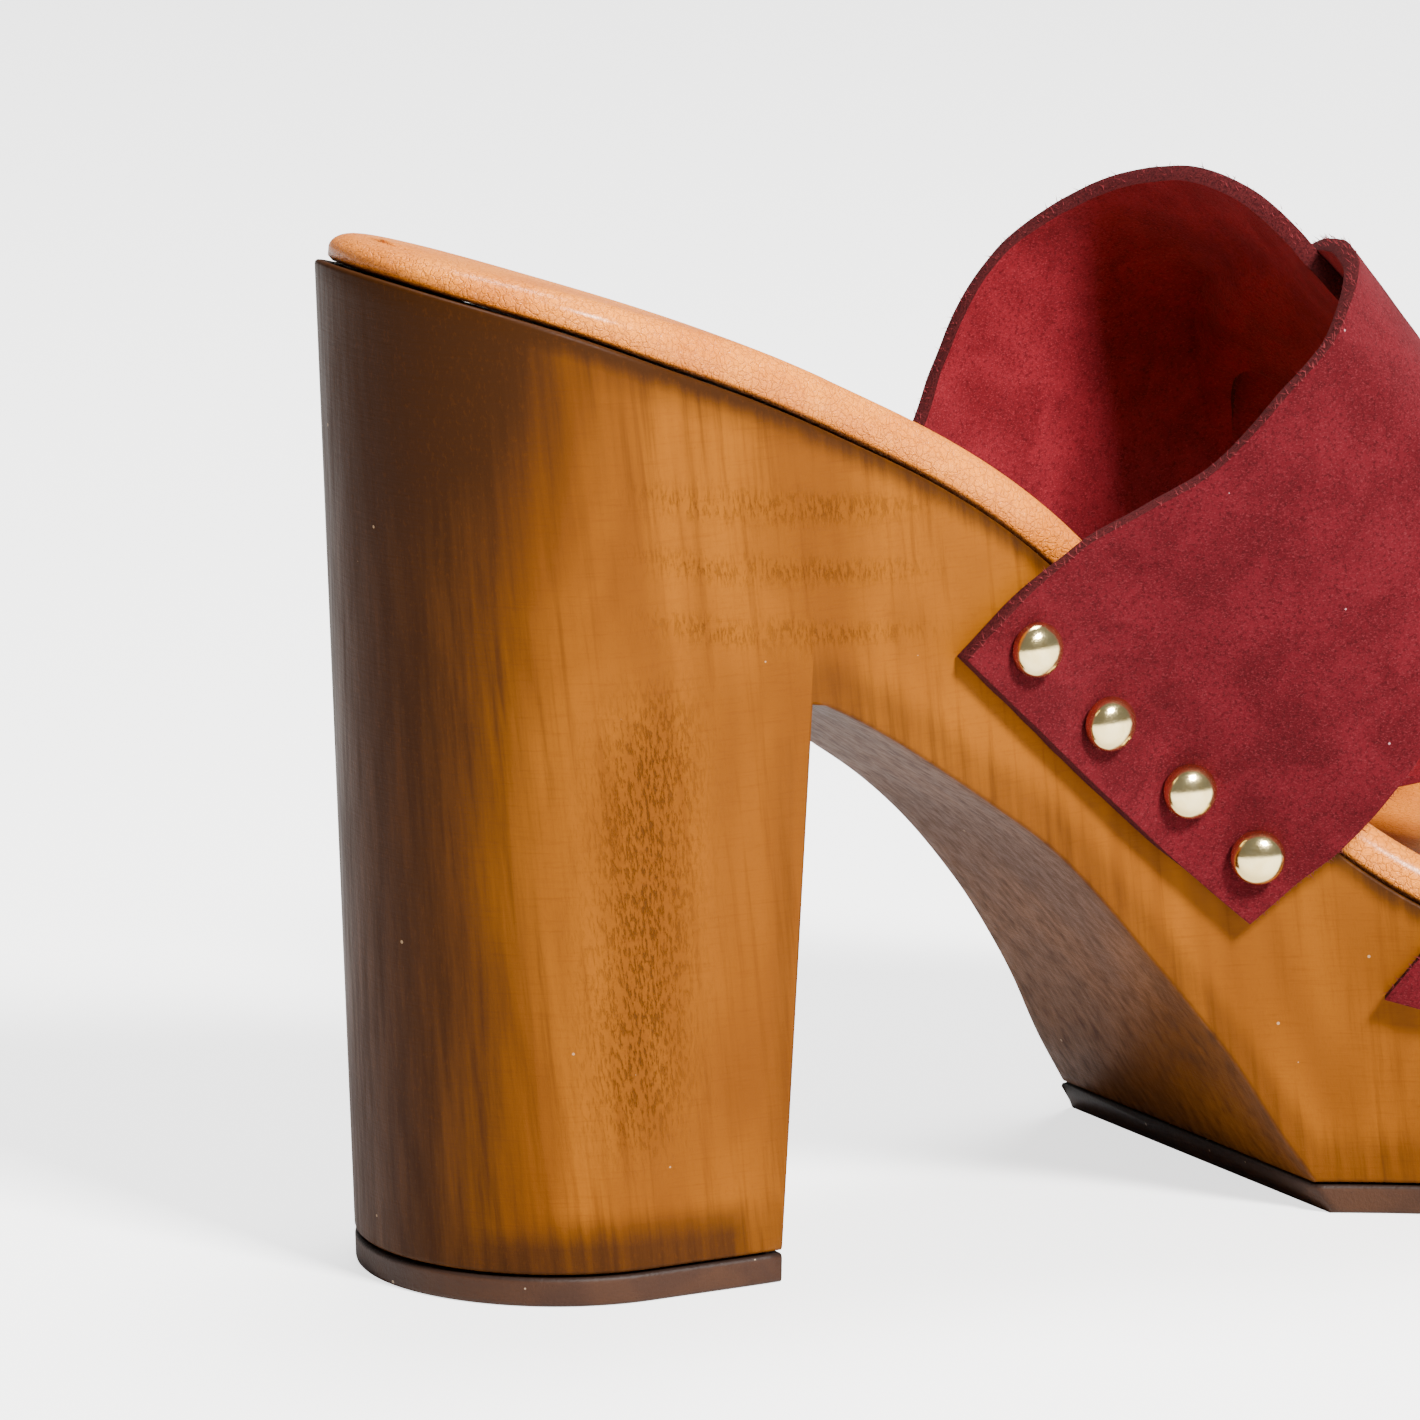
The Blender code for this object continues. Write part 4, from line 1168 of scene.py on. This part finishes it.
@dataclass
class Studs:
    """Domed nail heads along each strap end."""

    last: Last
    diameter: float = 0.0062
    height: float = 0.0021
    spacing: float = 0.0129
    margin: float = 0.0062
    stand: float = 0.0009
    count: int = 4
    stray: float = 0.0018
    stray_rows: tuple = ((-0.22, 0.00), (0.44, -0.11), (1.00, 0.30), (0.11, 0.11))
    order: tuple = (
        ("strap_over", End.REAR), ("strap_under", End.REAR), ("strap_under", End.FRONT), ("strap_over", End.FRONT),
    )

    def spot(self, strap: Strap, end: End, number: int, stray: tuple[float, float]) -> tuple[Vector, Vector]:
        """Centre and outward direction of one nail head."""
        t0 = end.value
        inner = 0.05 if end is End.REAR else 0.95
        rear, front = strap.point(t0, 0.0), strap.point(t0, 1.0)
        reach = (number - 0.5 * (self.count - 1)) * self.spacing + stray[0] * self.stray
        v = 0.5 + reach / (front - rear).length
        low, high = strap.point(t0, v), strap.point(inner, v)
        t = t0 + (inner - t0) * (self.margin + stray[1] * self.stray) / (high - low).length
        centre = strap.point(t, v)
        along = strap.point(t, v + 0.05) - strap.point(t, v - 0.05)
        normal = along.cross(high - low).normalized()
        if normal.y * centre.y < 0.0:
            normal = -normal
        return centre, normal

    def centres(self, strap: Strap, end: End) -> list[Vector]:
        """Centres of the four nail heads at one end of a strap."""
        row = self.order.index((strap.name, end))
        return [self.spot(strap, end, n, self.stray_rows[(n + row) % self.count])[0] for n in range(self.count)]

    def dome(self, name: str, centre: Vector, normal: Vector, finish: bpy.types.Material) -> bpy.types.Object:
        """Spin one nail head from its profile."""
        mesh = bmesh.new()
        radius = 0.5 * self.diameter
        total = self.height + self.stand
        profile = [(0.0, total)]
        for k in range(1, 15):
            angle = HALF_TURN * k / 14
            profile.append((radius * math.sin(angle), total - self.height * (1.0 - math.cos(angle) ** 0.92)))
        profile.append((radius * 1.0, self.stand * 0.55))
        profile.append((radius * 0.93, self.stand * 0.12))
        profile.append((radius * 0.80, 0.0))
        profile.append((0.0, 0.0))
        verts = [mesh.verts.new((r, 0.0, z)) for r, z in profile]
        edges = [mesh.edges.new(pair) for pair in zip(verts, verts[1:])]
        bmesh.ops.spin(mesh, geom=verts + edges, cent=(0.0, 0.0, 0.0), axis=(0.0, 0.0, 1.0), angle=2.0 * math.pi, steps=48, use_merge=True)
        bmesh.ops.remove_doubles(mesh, verts=mesh.verts, dist=1e-6)
        bmesh.ops.recalc_face_normals(mesh, faces=mesh.faces)
        turn = normal.to_track_quat("Z", "X").to_matrix().to_4x4()
        bmesh.ops.transform(mesh, matrix=Matrix.Translation(centre) @ turn, verts=mesh.verts)
        return finish_mesh(name, mesh, [finish])

    def build(self, straps: Sequence[Strap], finish: bpy.types.Material) -> None:
        """Build every nail head."""
        over, under = straps
        ends = (("near_rear", over, End.REAR), ("far_rear", under, End.REAR), ("near_front", under, End.FRONT), ("far_front", over, End.FRONT))
        for row, (label, strap, end) in enumerate(ends):
            for number in range(self.count):
                stray = self.stray_rows[(number + row) % self.count]
                centre, normal = self.spot(strap, end, number, stray)
                piece = self.dome(f"nail_{label}_{number + 1}", centre, normal, finish)
                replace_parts(piece, f"stud_{label}_{number + 1}")


@dataclass
class Studio:
    """Pale floor, soft light and the photograph's camera."""

    aim: Vector = field(default_factory=lambda: Vector((0.02004, 0.0, 0.06015)))
    azimuth: float = -29.0
    elevation: float = 11.87
    distance: float = 1.3
    lens: float = 296.7
    sensor: float = 36.0
    floor_glow: float = 1.9

    def camera(self) -> None:
        """Place the camera."""
        data = bpy.data.cameras.new("camera")
        data.lens = self.lens
        data.sensor_width = self.sensor
        data.clip_end = 50.0
        camera = bpy.data.objects.new("camera", data)
        a, e = math.radians(self.azimuth), math.radians(self.elevation)
        back = Vector((math.sin(a) * math.cos(e), -math.cos(a) * math.cos(e), math.sin(e)))
        camera.location = self.aim + back * self.distance
        camera.rotation_euler = back.to_track_quat("Z", "Y").to_euler()
        bpy.context.scene.collection.objects.link(camera)
        bpy.context.scene.camera = camera

    def floor(self) -> None:
        """Pale, flat floor."""
        mesh = bmesh.new()
        bmesh.ops.create_grid(mesh, x_segments=2, y_segments=2, size=6.0)
        data = bpy.data.meshes.new("floor")
        mesh.to_mesh(data)
        mesh.free()
        material, g, shader = new_material("floor")
        shader.inputs["Base Color"].default_value = (0.86, 0.86, 0.86, 1.0)
        shader.inputs["Roughness"].default_value = 0.75
        shader.inputs["Specular IOR Level"].default_value = 0.2
        shader.inputs["Emission Color"].default_value = (1.0, 1.0, 1.0, 1.0)
        seen = g.add("ShaderNodeLightPath").outputs["Is Camera Ray"]
        g.tree.links.new(g.math("MULTIPLY", seen, self.floor_glow), shader.inputs["Emission Strength"])
        data.materials.append(material)
        floor = bpy.data.objects.new("floor", data)
        bpy.context.scene.collection.objects.link(floor)

    def lamp(self, name: str, spot: Colour, size: float, power: float, colour: Colour = (1.0, 1.0, 1.0)) -> None:
        """Add a soft square lamp that points at the shoe."""
        data = bpy.data.lights.new(name, "AREA")
        data.shape = "SQUARE"
        data.size = size
        data.energy = power
        data.color = colour
        lamp = bpy.data.objects.new(name, data)
        lamp.location = spot
        lamp.rotation_euler = (Vector(spot) - self.aim).to_track_quat("Z", "Y").to_euler()
        bpy.context.scene.collection.objects.link(lamp)

    def light(self) -> None:
        """Soft light from above and the right, and a dim surround."""
        world = bpy.data.worlds.new("surround")
        world.use_nodes = True
        world.node_tree.nodes["Background"].inputs["Color"].default_value = (0.96, 0.98, 1.0, 1.0)
        world.node_tree.nodes["Background"].inputs["Strength"].default_value = 0.22
        bpy.context.scene.world = world
        self.lamp("key", (0.25, -1.20, 1.15), 0.36, 98.0, (1.0, 0.985, 0.96))
        self.lamp("top", (0.25, 0.25, 1.25), 0.5, 24.0)

    def build(self) -> None:
        """Build the studio."""
        self.camera()
        self.floor()
        self.light()


def main() -> None:
    """Build the dressed shoe and its studio."""
    logging.basicConfig(level=logging.INFO, format="%(name)s %(message)s")
    last = Last()
    sole = WoodenSole(last)
    tread = StainedTread().material()
    sole.build_wood(StainedWood().material())
    sole.build_lift(tread)
    sole.build_outsole(tread)
    Insole(last).build(GrainLeather().material())
    straps = CrossedStraps(last).build(Suede())
    Studs(last).build(straps, PaleBrass().material())
    Studio().build()
    bpy.context.view_layer.update()


if __name__ == "__main__":
    main()
